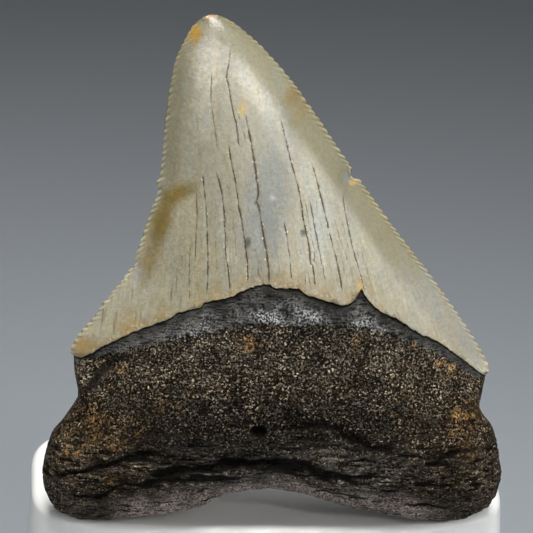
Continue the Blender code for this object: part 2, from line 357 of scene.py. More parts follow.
    def root_outline(self) -> np.ndarray:
        """Returns the root's sides and underside as one polyline."""
        left, under, right = (smooth_curve(p, 6) for p in (self.root_left, self.underside, self.root_right))
        return np.vstack([left, under, right[::-1]])

    def side(self, edge: Edge) -> np.ndarray:
        """Returns one side of the tooth, from its lobe's widest point to the tip."""
        root = smooth_curve(self.root_left if edge is Edge.LEFT else self.root_right)
        widest = np.argmax(abs(root[:, 0]))
        return np.vstack([root[: widest + 1][::-1], self.edge(edge)])

    def depth(self, face: Face, plane: np.ndarray) -> np.ndarray:
        """Works out how far a face stands from the bent middle plane.

        Args:
            face: The face.
            plane: Points of the middle plane, with X and Z last.

        Returns:
            The depth at each point.
        """
        inner = face is Face.INNER
        stations, rounding = (
            (self.inner_face, self.inner_rounding) if inner else (self.outer_face, self.outer_rounding)
        )
        x, z = plane[..., 0], plane[..., 1]
        left, right = (np.interp(z, side[:, 1], side[:, 0]) for side in map(self.side, Edge))
        flatness = 2 + 0.5 * smoothstep(34.0, 50.0, z)
        across = 1 - abs(2 * np.clip((x - left) / (right - left), 0, 1) - 1) ** flatness
        lobed = smoothstep(self.neck_top, self.neck_foot, z)
        share = (1 - lobed) * across**self.blade_power
        share += lobed * (self.lobe_thickness + (1 - self.lobe_thickness) * across)
        low = z < self.neck_top
        share[low] *= quarter_round(distance_to(self.root_outline(), plane[low]), rounding * lobed[low] + 1e-3)
        share *= quarter_round(self.top - z, self.tip_rounding)
        return profile(stations, z) * share


@dataclass(frozen=True)
class Patch:
    """A grid of points on one face, with what the finishes need to know about each point."""

    points: np.ndarray
    marks: dict[str, np.ndarray]


@dataclass(frozen=True)
class Relief:
    """What time and use left on the tooth: beads, chips and cracks in the crown, furrows and pores in the root."""

    beads: dict[Edge, int] = field(default_factory=lambda: {Edge.LEFT: 54, Edge.RIGHT: 60})
    bead_height: float = 0.24
    bead_reach: float = 0.32  # how far in from the edge a bead is felt
    bead_swell: float = 0.05  # how much a bead thickens the edge
    bead_wander: Texture = Texture(0.35, (1 / 23, 1, 1), 5.0, 1)
    bead_sizes: Texture = Texture(0.45, (1 / 60, 1, 1), 9.0, 1)
    swell: Texture = Texture(0.05, (5, 5, 7), 2.0)
    striations: Texture = Texture(0.012, (0.7, 2, 5), 4.0)
    jagged: float = 0.13  # how far the enamel's border strays
    coarse_border: Texture = Texture(0.8, (0.8, 1, 4), 3.0)
    fine_border: Texture = Texture(0.9, (0.34, 1, 4), 5.0)
    ledge: float = 0.2  # the step from the enamel down to the root
    gutter: float = 0.12  # the furrow along that step
    band_edge: Texture = Texture(0.35, (1.1, 1, 0.8), 12.0, 3)
    lumps: Texture = Texture(0.34, (3.1, 3.1, 3.1), 0.0, 1)
    crust: Texture = Texture(0.1, (1.5, 1.5, 1.2), 6.0)
    grains: Texture = Texture(0.055, (0.42, 0.42, 0.36), 8.0)
    fibres: Texture = Texture(1.0, (4.2, 1.6, 0.62), 10.0)
    fibre_height: float = 0.2
    ripple: Texture = Texture(0.3, (1.2, 1, 0.8), 14.0, 3)
    chips: tuple[Chip, ...] = (
        Chip(Edge.RIGHT, 37.8, 0.62, 0.45, 0.26, (8.0, 37.5), (0.9, 1.1)),
        Chip(Edge.LEFT, 28.0, 0.3, 0.6, 0.12, (-14.2, 26.8), (0.8, 1.6)),
        Chip(Edge.LEFT, 36.6, -0.25, 0.5),
        Chip(Edge.LEFT, 35.2, 0.2, 0.8),
        Chip(Edge.RIGHT, 45.4, 0.12, 0.4),
        Chip(Edge.LEFT, 23.6, -0.12, 0.35),
    )
    grooves: tuple[Groove, ...] = (
        Groove(
            ((-12.9, 6.3), (-10.6, 6.8), (-8.5, 7.2), (-5.5, 7.7), (-3.5, 8.0), (2.7, 8.0), (4.9, 6.8), (6.7, 5.9)),
            0.72,
            0.55,
        ),
        Groove(((-1.5, 8.0), (0.5, 7.8), (2.9, 7.8)), 0.5, 0.75),
        Groove(((-14.5, 5.2), (-12.5, 5.6), (-9.0, 6.1), (-6.1, 6.2), (-3.9, 6.0)), 0.42, 0.42),
        Groove(((-23.5, 5.1), (-20.8, 6.3), (-16.9, 7.6), (-14.8, 8.5), (-11.5, 8.9)), 0.42, 0.42),
        Groove(((-19.1, 2.8), (-16.9, 4.6), (-14.5, 5.9)), 0.38, 0.38),
        Groove(((-20.1, 14.2), (-18.7, 15.5), (-17.5, 16.9), (-16.1, 18.0)), 0.36, 0.6),
        Groove(((-16.8, 17.9), (-15.6, 18.3), (-14.6, 18.9)), 0.42, 0.8),
        Groove(((1.2, 11.7), (3.2, 12.1), (6.0, 12.1), (8.1, 10.8), (10.8, 9.6), (13.5, 9.5)), 0.34, 0.45),
        Groove(((2.9, 8.1), (5.1, 7.2), (7.8, 6.2), (9.9, 5.7)), 0.42, 0.5),
        Groove(((9.6, 6.1), (11.2, 6.1), (12.8, 6.3)), 0.3, 0.34),
        Groove(((13.3, 3.2), (15.9, 2.8), (18.1, 2.8)), 0.3, 0.36),
        Groove(((16.7, 7.3), (18.8, 8.9), (21.0, 9.2), (23.3, 8.7)), 0.3, 0.45),
    )
    pits: tuple[Pit, ...] = (
        Pit((-1.5, 11.5), 1.1, 0.72, 0.52),
        Pit((-8.5, 9.9), 0.4, 0.3, 0.25),
        Pit((-4.8, 10.6), 0.3, 0.22, 0.2),
        Pit((-13.2, 18.3), 0.28, 0.5, 0.4),
        Pit((9.2, 8.4), 0.45, 0.7, 0.32),
        Pit((2.9, 10.8), 0.3, 0.35, 0.25),
        Pit((16.0, 15.5), 0.22, 0.35, 0.3),
        Pit((-10.1, 15.1), 0.2, 0.3, 0.3),
    )
    pores: int = 150
    pore_depth: tuple[float, float] = (0.12, 0.3)
    pore_size: tuple[float, float] = (0.12, 0.3)
    pore_stretch: float = 1.9  # a pore's width, as a share of its height
    pore_top: float = 9.0
    hairlines: tuple[Hairline, ...] = (
        Hairline(
            ((-3.8, 40.9), (-4.1, 43.1), (-4.5, 44.7), (-5.0, 47.4), (-5.2, 48.4), (-4.9, 50.2), (-4.8, 51.8)), 0.1
        ),
        Hairline(
            ((-0.6, 27.0), (-0.7, 29.1), (-1.2, 31.9), (-1.7, 34.8), (-2.0, 35.6), (-1.8, 36.4), (-2.1, 38.5),
             (-2.4, 40.5), (-2.8, 42.4), (-3.3, 45.0)),
            0.16,
        ),
        Hairline(
            ((-2.8, 27.0), (-2.9, 29.5), (-3.4, 33.0), (-3.8, 35.0), (-4.2, 37.6), (-4.7, 39.8), (-5.0, 42.0)), 0.13
        ),
        Hairline(((-6.0, 40.5), (-6.4, 43.1), (-6.8, 46.1), (-6.7, 49.2)), 0.07),
        Hairline(((-7.7, 38.3), (-8.1, 41.5)), 0.06),
        Hairline(((-7.9, 41.9), (-8.4, 44.6)), 0.06),
        Hairline(
            ((-4.6, 26.0), (-4.8, 28.2), (-5.1, 30.1), (-5.2, 32.4), (-5.4, 35.1), (-5.8, 37.2), (-6.5, 39.2)), 0.12
        ),
        Hairline(((-7.0, 25.4), (-6.9, 29.0), (-7.0, 31.3), (-7.1, 33.8), (-7.3, 35.9), (-7.8, 39.4)), 0.1),
        Hairline(((-8.2, 28.4), (-8.2, 30.7), (-8.1, 33.5), (-8.2, 36.6)), 0.08),
        Hairline(((-8.8, 24.6), (-8.8, 28.4), (-8.7, 31.1)), 0.07),
        Hairline(((-9.7, 26.8), (-9.5, 29.6)), 0.06),
        Hairline(((-10.2, 25.2), (-10.0, 29.0)), 0.06),
        Hairline(((-10.7, 23.8), (-10.6, 26.4)), 0.06),
        Hairline(
            ((4.2, 26.6), (4.0, 28.8), (3.7, 29.3), (3.6, 30.8), (3.0, 33.5), (2.6, 36.0), (2.1, 38.0), (1.6, 39.6),
             (1.0, 42.0), (0.3, 44.8)),
            0.13,
        ),
        Hairline(((-1.6, 45.0), (-2.0, 47.4)), 0.05),
        Hairline(((1.8, 27.2), (1.5, 30.1), (1.2, 32.2), (0.8, 34.0)), 0.1),
        Hairline(((5.3, 27.2), (4.9, 29.4), (4.4, 31.7), (3.5, 36.2)), 0.09),
        Hairline(((7.2, 26.0), (6.6, 29.0), (5.7, 32.4), (5.1, 34.8), (4.3, 37.8), (3.6, 40.0)), 0.12),
        Hairline(((9.8, 25.4), (8.9, 28.4), (8.2, 30.7), (7.6, 33.6), (7.1, 36.4)), 0.1),
        Hairline(((8.6, 26.4), (7.8, 29.1), (6.9, 31.5), (6.1, 34.2)), 0.05),
        Hairline(((10.3, 26.4), (9.5, 29.0), (9.0, 30.8)), 0.05),
        Hairline(((3.2, 26.6), (3.2, 28.5)), 0.07),
        Hairline(((-1.2, 23.5), (-2.0, 30.1), (-3.2, 36.4), (-3.8, 41.0)), 0.12, Face.OUTER),
        Hairline(((4.6, 22.4), (3.4, 29.0), (1.4, 38.0)), 0.11, Face.OUTER),
        Hairline(((-6.6, 22.0), (-6.8, 28.6), (-7.4, 36.0)), 0.12, Face.OUTER),
        Hairline(((10.8, 20.6), (9.2, 26.0), (7.0, 31.0)), 0.09, Face.OUTER),
        Hairline(((-12.6, 20.0), (-11.2, 27.5)), 0.08, Face.OUTER),
        Hairline(((7.4, 22.0), (6.3, 27.2), (5.0, 32.0)), 0.07, Face.OUTER),
        Hairline(((-3.8, 22.6), (-4.4, 30.5)), 0.07, Face.OUTER),
    )
    crack_depth: float = 0.06
    crack_reach: float = 0.13  # how wide the furrow of a crack is
    deep_crack: float = 0.08  # half the width of a crack of the full depth


@dataclass
class ToothShaper:
    """Works out the tooth's surface, patch by patch."""

    form: ToothForm
    relief: Relief
    crown_rows: int = 360
    root_rows: int = 150
    columns: int = 320
    gathering: float = 0.85  # how much the columns gather at the cutting edges

    def patches(self) -> list[tuple[Patch, Part]]:
        """Returns the four patches that close the tooth, each with its part."""
        made = []
        for face in Face:
            made.append((self.crown(face), Part.CROWN))
            made.append((self.root(face), Part.ROOT))
        return made

    def across(self) -> np.ndarray:
        """Returns the columns' places, from 0 to 1."""
        return gathered(self.columns, self.gathering)

    def border_row(self, face: Face) -> np.ndarray:
        """Returns the enamel's border on a face, roughened, a point for each column."""
        relief, columns = self.relief, self.across()
        row = along(self.form.border(face), columns)
        places = in_space(row, 7.0 * face.value)
        ends = smoothstep(0, 0.03, columns) * smoothstep(1, 0.97, columns)
        row[:, 1] += relief.jagged * (relief.coarse_border.at(places) + relief.fine_border.at(places)) * ends
        return row

    def filled(
        self, left: np.ndarray, right: np.ndarray, low: np.ndarray, high: np.ndarray, rows: np.ndarray, reach: float
    ) -> np.ndarray:
        """Fills a patch of the middle plane that starts at the enamel's border.

        Args:
            left: The left edge, a point for each row.
            right: The right edge, a point for each row.
            low: The roughened border, a point for each column.
            high: The last row, a point for each column.
            rows: The rows' places, from 0 to 1.
            reach: The share of the rows that the border's own shape is felt in.

        Returns:
            The grid of points.
        """
        columns = self.across()
        arch = along(smooth_curve(self.form.border_arch), columns)
        fading = np.clip(1 - rows / reach, 0, 1)[:, None, None] ** 2
        return coons_patch(left, right, arch, high, rows, columns) + fading * (low - arch)[None]

    def bead_wave(self, edge: Edge, rows: np.ndarray) -> np.ndarray:
        """Returns how far each row is from a notch, -0.5, to a bead's crest, 0.5, along a cutting edge."""
        places = np.column_stack([rows, rows * 0 + edge.value, rows * 0])
        turn = rows * self.relief.beads[edge] + self.relief.bead_wander.at(places)
        size = 1 + self.relief.bead_sizes.at(places)
        fade = smoothstep(0.0, 0.02, rows) * smoothstep(1.0, 0.985, rows)
        finer_tip = 1 - 0.55 * smoothstep(0.45, 0.95, rows)
        return (abs(np.sin(np.pi * turn)) ** 0.75 - 0.5) * fade * size * finer_tip

    def crown(self, face: Face) -> Patch:
        """Shapes the crown on one face.

        Args:
            face: The face.

        Returns:
            Its patch, from the enamel's border up to the tip.
        """
        form, relief = self.form, self.relief
        rows = np.linspace(0, 1, self.crown_rows + 1)
        sides = {edge: along(form.edge(edge), rows) for edge in Edge}
        low = self.border_row(face)
        high = along(smooth_curve(form.tip), self.across())
        plane = self.filled(sides[Edge.LEFT], sides[Edge.RIGHT], low, high, rows, 0.3)
        depth = form.depth(face, plane)
        rim = {edge: distance_to(form.edge(edge, 3), plane) for edge in Edge}
        nearest = np.minimum(rim[Edge.LEFT], rim[Edge.RIGHT])

        shaped = plane.copy()
        bead = np.zeros(depth.shape)
        for edge, side in sides.items():
            wave = self.bead_wave(edge, rows)[:, None] * bell(rim[edge], relief.bead_reach)
            shaped -= (self.inwards(side, edge)[:, None] * wave[..., None]) * relief.bead_height
            bead += wave
        shaped += self.chipped(plane, sides)
        depth += relief.bead_swell * bead * smoothstep(0, 0.15, nearest)
        depth -= np.minimum(self.scoops(face, plane), 0.7 * depth)
        places = self.lifted(face, shaped, depth)
        gap, half_width = self.nearest_crack(face, plane)
        furrow = bell(gap, relief.crack_reach) * half_width / relief.deep_crack
        open_face = smoothstep(0.1, 1.2, nearest)
        swell = relief.swell.at(places) + relief.striations.at(places)
        marks = {
            "lift": open_face * (swell - relief.crack_depth * furrow),
            "glass_and_shade": self.glass_and_shade(rim, plane),
            "crack_gap": gap,
            "crack_width": half_width,
            "bead": bead,
            "below": self.below_border(low, plane),
            "inner": np.full(depth.shape, float(face is Face.INNER)),
        }
        return Patch(places, marks)

    @staticmethod
    def glass_and_shade(rim: dict[Edge, np.ndarray], plane: np.ndarray) -> np.ndarray:
        """Returns how glassy the enamel is, from 0 to 1: most so near the cutting edges, where it is thin. On the
        right bevel, which turns from the light, it is also painted shade.
        """
        z = plane[..., 1]
        right_reach = 2.45 + 0.6 * smoothstep(40, 46, z) + 0.4 * smoothstep(33, 28, z)
        softness = 1.0 + 0.6 * smoothstep(38, 46, z) + 0.4 * smoothstep(31, 26, z)
        right = smoothstep(1, -1, (rim[Edge.RIGHT] - right_reach) / softness)
        right *= (0.7 + 0.3 * smoothstep(24, 31, z)) * (1 - 0.35 * smoothstep(42, 47, z))
        left = smoothstep(3.4, 0.4, rim[Edge.LEFT]) * (0.25 + 0.25 * smoothstep(26, 36, z))
        return np.maximum(right, left)

    def root(self, face: Face) -> Patch:
        """Shapes the root on one face.

        Args:
            face: The face.

        Returns:
            Its patch, from the enamel's border down to the underside.
        """
        form, relief = self.form, self.relief
        spread = np.linspace(0, 1, self.root_rows)
        eased = 0.35 * spread + 0.65 * np.sin(0.5 * np.pi * spread)
        rows = np.concatenate([[0.0], 0.003 + 0.997 * eased])
        left, right = (along(smooth_curve(path), rows) for path in (form.root_left, form.root_right))
        low = self.border_row(face)
        high = along(smooth_curve(form.underside), self.across())
        plane = self.filled(left, right, low, high, rows, 0.5)
        below = self.below_border(low, plane)
        inwards = distance_to(form.root_outline(), plane)
        under_enamel = rows[:, None] > 0
        body = smoothstep(0.2, 2.2, inwards) * under_enamel
        step = relief.ledge * smoothstep(0, 1.5, inwards) * under_enamel
        gutter = relief.gutter * bell(below, 0.3) * body
        lump_seed = 0.0 if face is Face.INNER else 31.0
        lumps = relief.lumps.at(in_space(plane, lump_seed * relief.lumps.size[1]))
        cuts = self.furrows(face, plane)
        depth = form.depth(face, plane) - step - gutter + body * (lumps - cuts)
        places = self.lifted(face, plane, depth)

        band, foot = self.band(face, plane, below), self.foot(plane)
        fibrous = smoothstep(12.5, 7.0, plane[..., 1]) if face is Face.INNER else 0.4 * foot
        fibres = 1 - 2 * abs(relief.fibres.at(places))
        rough = relief.crust.at(places) * (1 + 1.3 * smoothstep(11.0, 7.0, plane[..., 1]))
        rough += relief.grains.at(places) + relief.fibre_height * fibrous * (fibres - 0.5)
        open_root = (1 - 0.8 * band) * under_enamel
        rim_fade = (0.6 + 0.4 * smoothstep(0.0, 0.5, inwards)) * smoothstep(0, 0.02, inwards)
        marks = {
            "lift": open_root * rim_fade * rough,
            "below": below,
            # hollow drives painted shade: the root's colour is darkened in its grooves, pits, gutter and the gaps
            # between fibres.
            "hollow": np.clip(cuts / 0.4 + 2.4 * fibrous * np.clip(0.35 - fibres, 0, 1) + gutter / 0.2, 0, 1),
            "band": band,
            "foot": foot,
            "fibrous": np.broadcast_to(fibrous, below.shape).astype(float),
            "inner": np.full(below.shape, float(face is Face.INNER)),
        }
        return Patch(places, marks)

    def foot(self, plane: np.ndarray) -> np.ndarray:
        """Returns 1 on the root's foot, which reaches higher on the lobes, and 0 elsewhere: paler bone, with painted
        light on it too.
        """
        higher = 1.1 * smoothstep(5.0, 11.0, abs(plane[..., 0] - 1.0))
        return smoothstep(3.6, 1.2, distance_to(smooth_curve(self.form.underside, 5), plane) - higher)

    def band(self, face: Face, plane: np.ndarray, below: np.ndarray) -> np.ndarray:
        """Returns 1 on the smooth band under the inner enamel and 0 elsewhere."""
        if face is Face.OUTER:
            return smoothstep(0.9, 0.3, below)
        foot = smooth_curve(self.form.band_foot)
        above_foot = plane[..., 1] - np.interp(plane[..., 0], foot[:, 0], foot[:, 1])
        return smoothstep(-0.3, 0.3, above_foot + self.relief.band_edge.at(in_space(plane)))

    def lifted(self, face: Face, plane: np.ndarray, depth: np.ndarray) -> np.ndarray:
        """Stands points off the bent middle plane, towards a face."""
        return in_space(plane, profile(self.form.bend, plane[..., 1]) + face.value * depth)

    @staticmethod
    def below_border(row: np.ndarray, plane: np.ndarray) -> np.ndarray:
        """Returns how far each point is under the enamel's border, negative on the enamel."""
        order = np.argsort(row[:, 0])
        return np.interp(plane[..., 0], row[order, 0], row[order, 1]) - plane[..., 1]

    @staticmethod
    def inwards(side: np.ndarray, edge: Edge) -> np.ndarray:
        """Returns the unit normals of a cutting edge that point into the tooth."""
        tangent = np.gradient(side, axis=0)
        normal = np.column_stack([tangent[:, 1], -tangent[:, 0]])
        normal /= np.linalg.norm(normal, axis=1)[:, None]
        return -edge.value * normal

    def chipped(self, plane: np.ndarray, sides: dict[Edge, np.ndarray]) -> np.ndarray:
        """Returns how far each point moves in the plane, around the breaks in the cutting edges."""
        moved = np.zeros(plane.shape)
        for chip in self.relief.chips:
            side = sides[chip.edge]
            nearest = np.argmin(abs(side[:, 1] - chip.height))
            gap = np.linalg.norm(plane - side[nearest], axis=-1)
            push = chip.depth * bell(gap, chip.half_length)
            moved += self.inwards(side, chip.edge)[nearest] * push[..., None]
        return moved

    def scoops(self, face: Face, plane: np.ndarray) -> np.ndarray:
        """Returns the depth of the hollows that flakes left in the inner face."""
        depth = np.zeros(plane.shape[:-1])
        if face is Face.INNER:
            for chip in self.relief.chips:
                gap = (plane - chip.scoop_centre) / chip.scoop_size
                depth += chip.scoop * np.exp(-(np.linalg.norm(gap, axis=-1) ** 2.5))
        return depth

    def nearest_crack(self, face: Face, plane: np.ndarray) -> tuple[np.ndarray, np.ndarray]:
        """Finds the crack that is nearest to each point of a face.

        Args:
            face: The face.
            plane: The points, with X and Z last.

        Returns:
            The signed gap to that crack, and its half width there: 0 past its ends and midway to its neighbour.
        """
        x, z = plane[..., 0], plane[..., 1]
        nearest, second, gap = (np.full(x.shape, FAR) for _ in range(3))
        half_width = np.zeros(x.shape)
        for crack in self.relief.hairlines:
            if crack.face is face:
                line = smooth_curve(crack.path, 6)
                low, high = line[0, 1], line[-1, 1]
                aside = x - np.interp(z, line[:, 1], line[:, 0])
                away = np.hypot(aside, np.maximum(low - z, 0) + np.maximum(z - high, 0))
                second = np.minimum(second, np.maximum(away, nearest))
                closer = away < nearest
                ends = smoothstep(low, low + 0.8, z) * smoothstep(high, high - 0.14 * (high - low), z)
                nearest = np.where(closer, away, nearest)
                gap = np.where(closer, aside, gap)
                half_width = np.where(closer, 0.5 * crack.width * ends, half_width)
        return gap, half_width * smoothstep(0, 0.25, 0.5 * (second - nearest))

    def furrows(self, face: Face, plane: np.ndarray) -> np.ndarray:
        """Returns the depth of the grooves, pits and pores in a face of the root."""
        cuts = np.zeros(plane.shape[:-1])
        waved = plane + np.stack([cuts, self.relief.ripple.at(in_space(plane))], -1)
        if face is Face.INNER:
            for groove in self.relief.grooves:
                curve = smooth_curve(groove.path, 5)
                depth = groove.depth * bell(distance_to(curve, waved), groove.half_width)
                ends = (np.linalg.norm(plane - end, axis=-1) for end in (curve[0], curve[-1]))
                tapered = math.prod(smoothstep(0, 1.6, end_gap) for end_gap in ends)
                cuts = np.maximum(cuts, depth * (0.35 + 0.65 * tapered))
        for pit in self.pits(face):
            gap = (waved - pit.centre) / (pit.half_width, pit.half_height)
            cuts = np.maximum(cuts, pit.depth * np.exp(-(np.linalg.norm(gap, axis=-1) ** 3)))
        return cuts

    def pits(self, face: Face) -> list[Pit]:
        """Returns the pits of a face: the named ones on the inner face, and scattered pores on both."""
        relief = self.relief
        dice = np.random.default_rng(7 if face is Face.INNER else 8)
        pits = list(relief.pits) if face is Face.INNER else []
        for _ in range(relief.pores):
            half_height = dice.uniform(*relief.pore_size) * 0.5
            centre = (dice.uniform(-22, 23), dice.uniform(0.8, relief.pore_top))
            pits.append(Pit(centre, dice.uniform(*relief.pore_depth), half_height * relief.pore_stretch, half_height))
        return pits


# ---- Working with Blender's tools ----


def deselect_all() -> None:
    """Leaves nothing selected, so that the next operator acts on its own piece alone."""
    bpy.ops.object.select_all(action="DESELECT")


def select(*objects: bpy.types.Object) -> None:
    """Selects these objects alone and makes the first one active."""
    deselect_all()
    for obj in objects:
        obj.select_set(True)
    bpy.context.view_layer.objects.active = objects[0]


def apply_modifier(obj: bpy.types.Object, kind: str, **settings: object) -> None:
    """Adds a modifier and applies it.

    Args:
        obj: The object.
        kind: The modifier's type.
        settings: Its settings.
    """
    select(obj)
    modifier = obj.modifiers.new(kind.title(), kind)
    for name, value in settings.items():
        setattr(modifier, name, value)
    bpy.ops.object.modifier_apply(modifier=modifier.name)


# ---- Shader nodes ----


@dataclass(frozen=True)
class Value:
    """A number, point or colour that a shader works out. It is reckoned with like a plain number."""

    nodes: "Nodes"
    socket: bpy.types.NodeSocket

    def __add__(self, other: "Value | float") -> "Value":
        """Adds."""
        return self.nodes.math("ADD", self, other)

    def __sub__(self, other: "Value | float") -> "Value":
        """Takes away."""
        return self.nodes.math("SUBTRACT", self, other)

    def __rsub__(self, other: float) -> "Value":
        """Is taken away."""
        return self.nodes.math("SUBTRACT", other, self)

    def __mul__(self, other: "Value | float") -> "Value":
        """Multiplies."""
        return self.nodes.math("MULTIPLY", self, other)

    def __truediv__(self, other: "Value | float") -> "Value":
        """Divides."""
        return self.nodes.math("DIVIDE", self, other)

    __radd__, __rmul__ = __add__, __mul__

    def __abs__(self) -> "Value":
        """Drops the sign."""
        return self.nodes.math("ABSOLUTE", self)

    def at_least(self, other: "Value | float") -> "Value":
        """Returns the larger of the two."""
        return self.nodes.math("MAXIMUM", self, other)

    def ease(self, start: "Value | float", end: "Value | float", low: float = 0.0, high: float = 1.0) -> "Value":
        """Eases from low, where this is at start, to high, where it is at end."""
        node = self.nodes.add("MapRange", interpolation_type="SMOOTHSTEP")
        for given, socket in zip((self, start, end, low, high), node.inputs):
            self.nodes.wire(given, socket)
        return self.nodes.output(node)


class Nodes:
    """Adds nodes to one tree and wires them, so that a finish reads as a list of steps."""

    def __init__(self, tree: bpy.types.NodeTree) -> None:
        """Keeps the tree."""
        self.tree = tree

    def add(self, kind: str, **settings: object) -> bpy.types.Node:
        """Adds a shader node and gives it its settings."""
        node = self.tree.nodes.new(f"ShaderNode{kind}")
        for name, value in settings.items():
            setattr(node, name, value)
        return node

    def output(self, node: bpy.types.Node, key: int | str = 0) -> Value:
        """Returns one of a node's outputs."""
        return Value(self, node.outputs[key])

    def wire(self, value: object, socket: bpy.types.NodeSocket) -> None:
        """Links an output to an input, or sets a plain value on it."""
        if isinstance(value, Value):
            self.tree.links.new(value.socket, socket)
        elif socket.type == "RGBA":
            socket.default_value = (*value, 1.0)
        else:
            socket.default_value = value

    def math(self, operation: str, *values: Value | float) -> Value:
        """Adds a Math node."""
        node = self.add("Math", operation=operation)
        for value, socket in zip(values, node.inputs):
            self.wire(value, socket)
        return self.output(node)

    def blend(self, share: Value | float, low: Value | Colour, high: Value | Colour, mode: str = "MIX") -> Value:
        """Mixes two colours."""
        node = self.add("Mix", data_type="RGBA", blend_type=mode)
        sockets = {socket.identifier: socket for socket in (*node.inputs, *node.outputs)}
        self.wire(share, sockets["Factor_Float"])
        self.wire(low, sockets["A_Color"])
        self.wire(high, sockets["B_Color"])
        return Value(self, sockets["Result_Color"])

    def tinted(self, colour: Value, tint: Value) -> Value:
        """Multiplies a colour by another."""
        return self.blend(1.0, colour, tint, "MULTIPLY")

    def split(self, point: Value) -> list[Value]:
        """Returns a point's X, Y and Z."""
        node = self.add("SeparateXYZ")
        self.wire(point, node.inputs[0])
        return [Value(self, socket) for socket in node.outputs]

    def joined(self, *parts: Value | float) -> Value:
        """Returns the point with these X, Y and Z."""
        node = self.add("CombineXYZ")
        for part, socket in zip(parts, node.inputs):
            self.wire(part, socket)
        return self.output(node)

    def stretch(self, point: Value, size: Sequence[Value | float]) -> Value:
        """Divides a point by a size along each axis."""
        return self.joined(*(part / length for part, length in zip(self.split(point), size)))

    def noise(self, point: Value, scale: float = 1.0, detail: float = 2.0, roughness: float = 0.5) -> Value:
        """Adds a Noise Texture and returns its value, about 0.5."""
        node = self.add("TexNoise")
        for given, name in zip((point, scale, detail, roughness), ("Vector", "Scale", "Detail", "Roughness")):
            self.wire(given, node.inputs[name])
        return self.output(node, "Fac")

    def mark(self, name: str) -> Value:
        """Reads one of the piece's own attributes."""
        return self.output(self.add("Attribute", attribute_name=name), "Fac")

    def point(self, back: Matrix) -> Value:
        """Returns the surface point, taken out of the room's metres by a matrix."""
        node = self.add("Mapping", vector_type="POINT")
        self.wire(self.output(self.add("TexCoord"), "Object"), node.inputs["Vector"])
        node.inputs["Location"].default_value = back.to_translation()
        node.inputs["Rotation"].default_value = back.to_euler()
        node.inputs["Scale"].default_value = back.to_scale()
        return self.output(node)

    def group(self, tree: bpy.types.NodeTree, **inputs: Value | float) -> dict[str, Value]:
        """Places a node group, gives it its inputs by name, and returns its outputs by name."""
        node = self.add("Group", node_tree=tree)
        for name, value in inputs.items():
            self.wire(value, node.inputs[name.replace("_", " ")])
        return {socket.name: Value(self, socket) for socket in node.outputs}


def new_effect(
    name: str, inputs: dict[str, float | None], outputs: Sequence[str]
) -> tuple[Nodes, dict[str, Value], bpy.types.NodeInputs]:
    """Starts a node group.

    Args:
        name: Its name.
        inputs: Its inputs and their values. None stands for a vector.
        outputs: Its outputs, all plain numbers.

    Returns:
        Its nodes, its inputs by name, and the sockets that its outputs are wired to.
    """
    tree = bpy.data.node_groups.new(name, "ShaderNodeTree")
    for label, value in inputs.items():
        kind = "NodeSocketVector" if value is None else "NodeSocketFloat"
        socket = tree.interface.new_socket(label, in_out="INPUT", socket_type=kind)
        if value is not None:
            socket.default_value = value
    for label in outputs:
        tree.interface.new_socket(label, in_out="OUTPUT", socket_type="NodeSocketFloat")
    nodes = Nodes(tree)
    source = tree.nodes.new("NodeGroupInput")
    given = {socket.name: Value(nodes, socket) for socket in source.outputs}
    return nodes, given, tree.nodes.new("NodeGroupOutput").inputs


@cache
def hairline_effect() -> bpy.types.NodeTree:
    """Builds the cracks: dark wavering lines with stained margins, from each point's gap to the nearest crack."""
    nodes, given, result = new_effect("hairline cracks", {"Point": None, "Gap": 1.0, "Width": 0.0}, ("Line", "Margin"))
    point = given["Point"]
    jitter = nodes.noise(nodes.stretch(point, (0.6, 0.6, 0.45)), 1.0, 3.0, 0.6)
    gap = abs(given["Gap"] + 0.2 * (jitter - 0.5))
    fullness = nodes.noise(nodes.stretch(point, (2.4, 2.4, 0.9))).ease(0.34, 0.62, 0.2, 1.3)
    width = 1.4 * given["Width"] * fullness
    shown = given["Width"].ease(0.0, 0.05)
    nodes.wire(shown * gap.ease(width, 0.35 * width), result["Line"])
    nodes.wire(shown * gap.ease(3.2 * width, 0.3 * width), result["Margin"])
    return nodes.tree


@cache
def spot_effect() -> bpy.types.NodeTree:
    """Builds the spot: a soft ragged oval at a place on the surface."""
    nodes, given, result = new_effect(
        "spot",
        {"Point": None, "X": 0.0, "Z": 0.0, "Half Width": 1.0, "Half Height": 1.0, "Turn": 0.0, "Ragged": 0.5},
        ["Spot"],
    )
    x, _, z = nodes.split(given["Point"])
    aside, above = x - given["X"], z - given["Z"]
    cosine, sine = (nodes.math(name, given["Turn"]) for name in ("COSINE", "SINE"))
    across = (aside * cosine - above * sine) / given["Half Width"]
    up = (aside * sine + above * cosine) / given["Half Height"]
    reach = nodes.math("SQRT", across * across + up * up)
    wander = nodes.noise(given["Point"], 1.3, 3.0, 0.6) - 0.5
    ragged = reach + wander * given["Ragged"]
    nodes.wire(ragged.ease(1.3, 0.25), result["Spot"])
    return nodes.tree


@cache
def streak_effect() -> bpy.types.NodeTree:
    """Builds the streaks: noise drawn out along lines that fan out from a point above the tip."""
    nodes, given, result = new_effect(
        "streaks", {"Point": None, "Spacing": 0.5, "Length": 6.0, "Seed": 0.0}, ["Value"]
    )
    fan_x, fan_z, fan_height = -7.5, 92.0, 60.0
    outer_face_y, outer_face_seed = 0.6, 17.0
    x, y, z = nodes.split(given["Point"])
    spread = (x - fan_x) / (fan_z - z)
    seed = given["Seed"] + outer_face_seed * nodes.math("GREATER_THAN", y, outer_face_y)
    place = nodes.joined(spread * fan_height / given["Spacing"], seed, z / given["Length"])
    nodes.wire(nodes.noise(place, 1.0, 2.0, 0.55), result["Value"])
    return nodes.tree


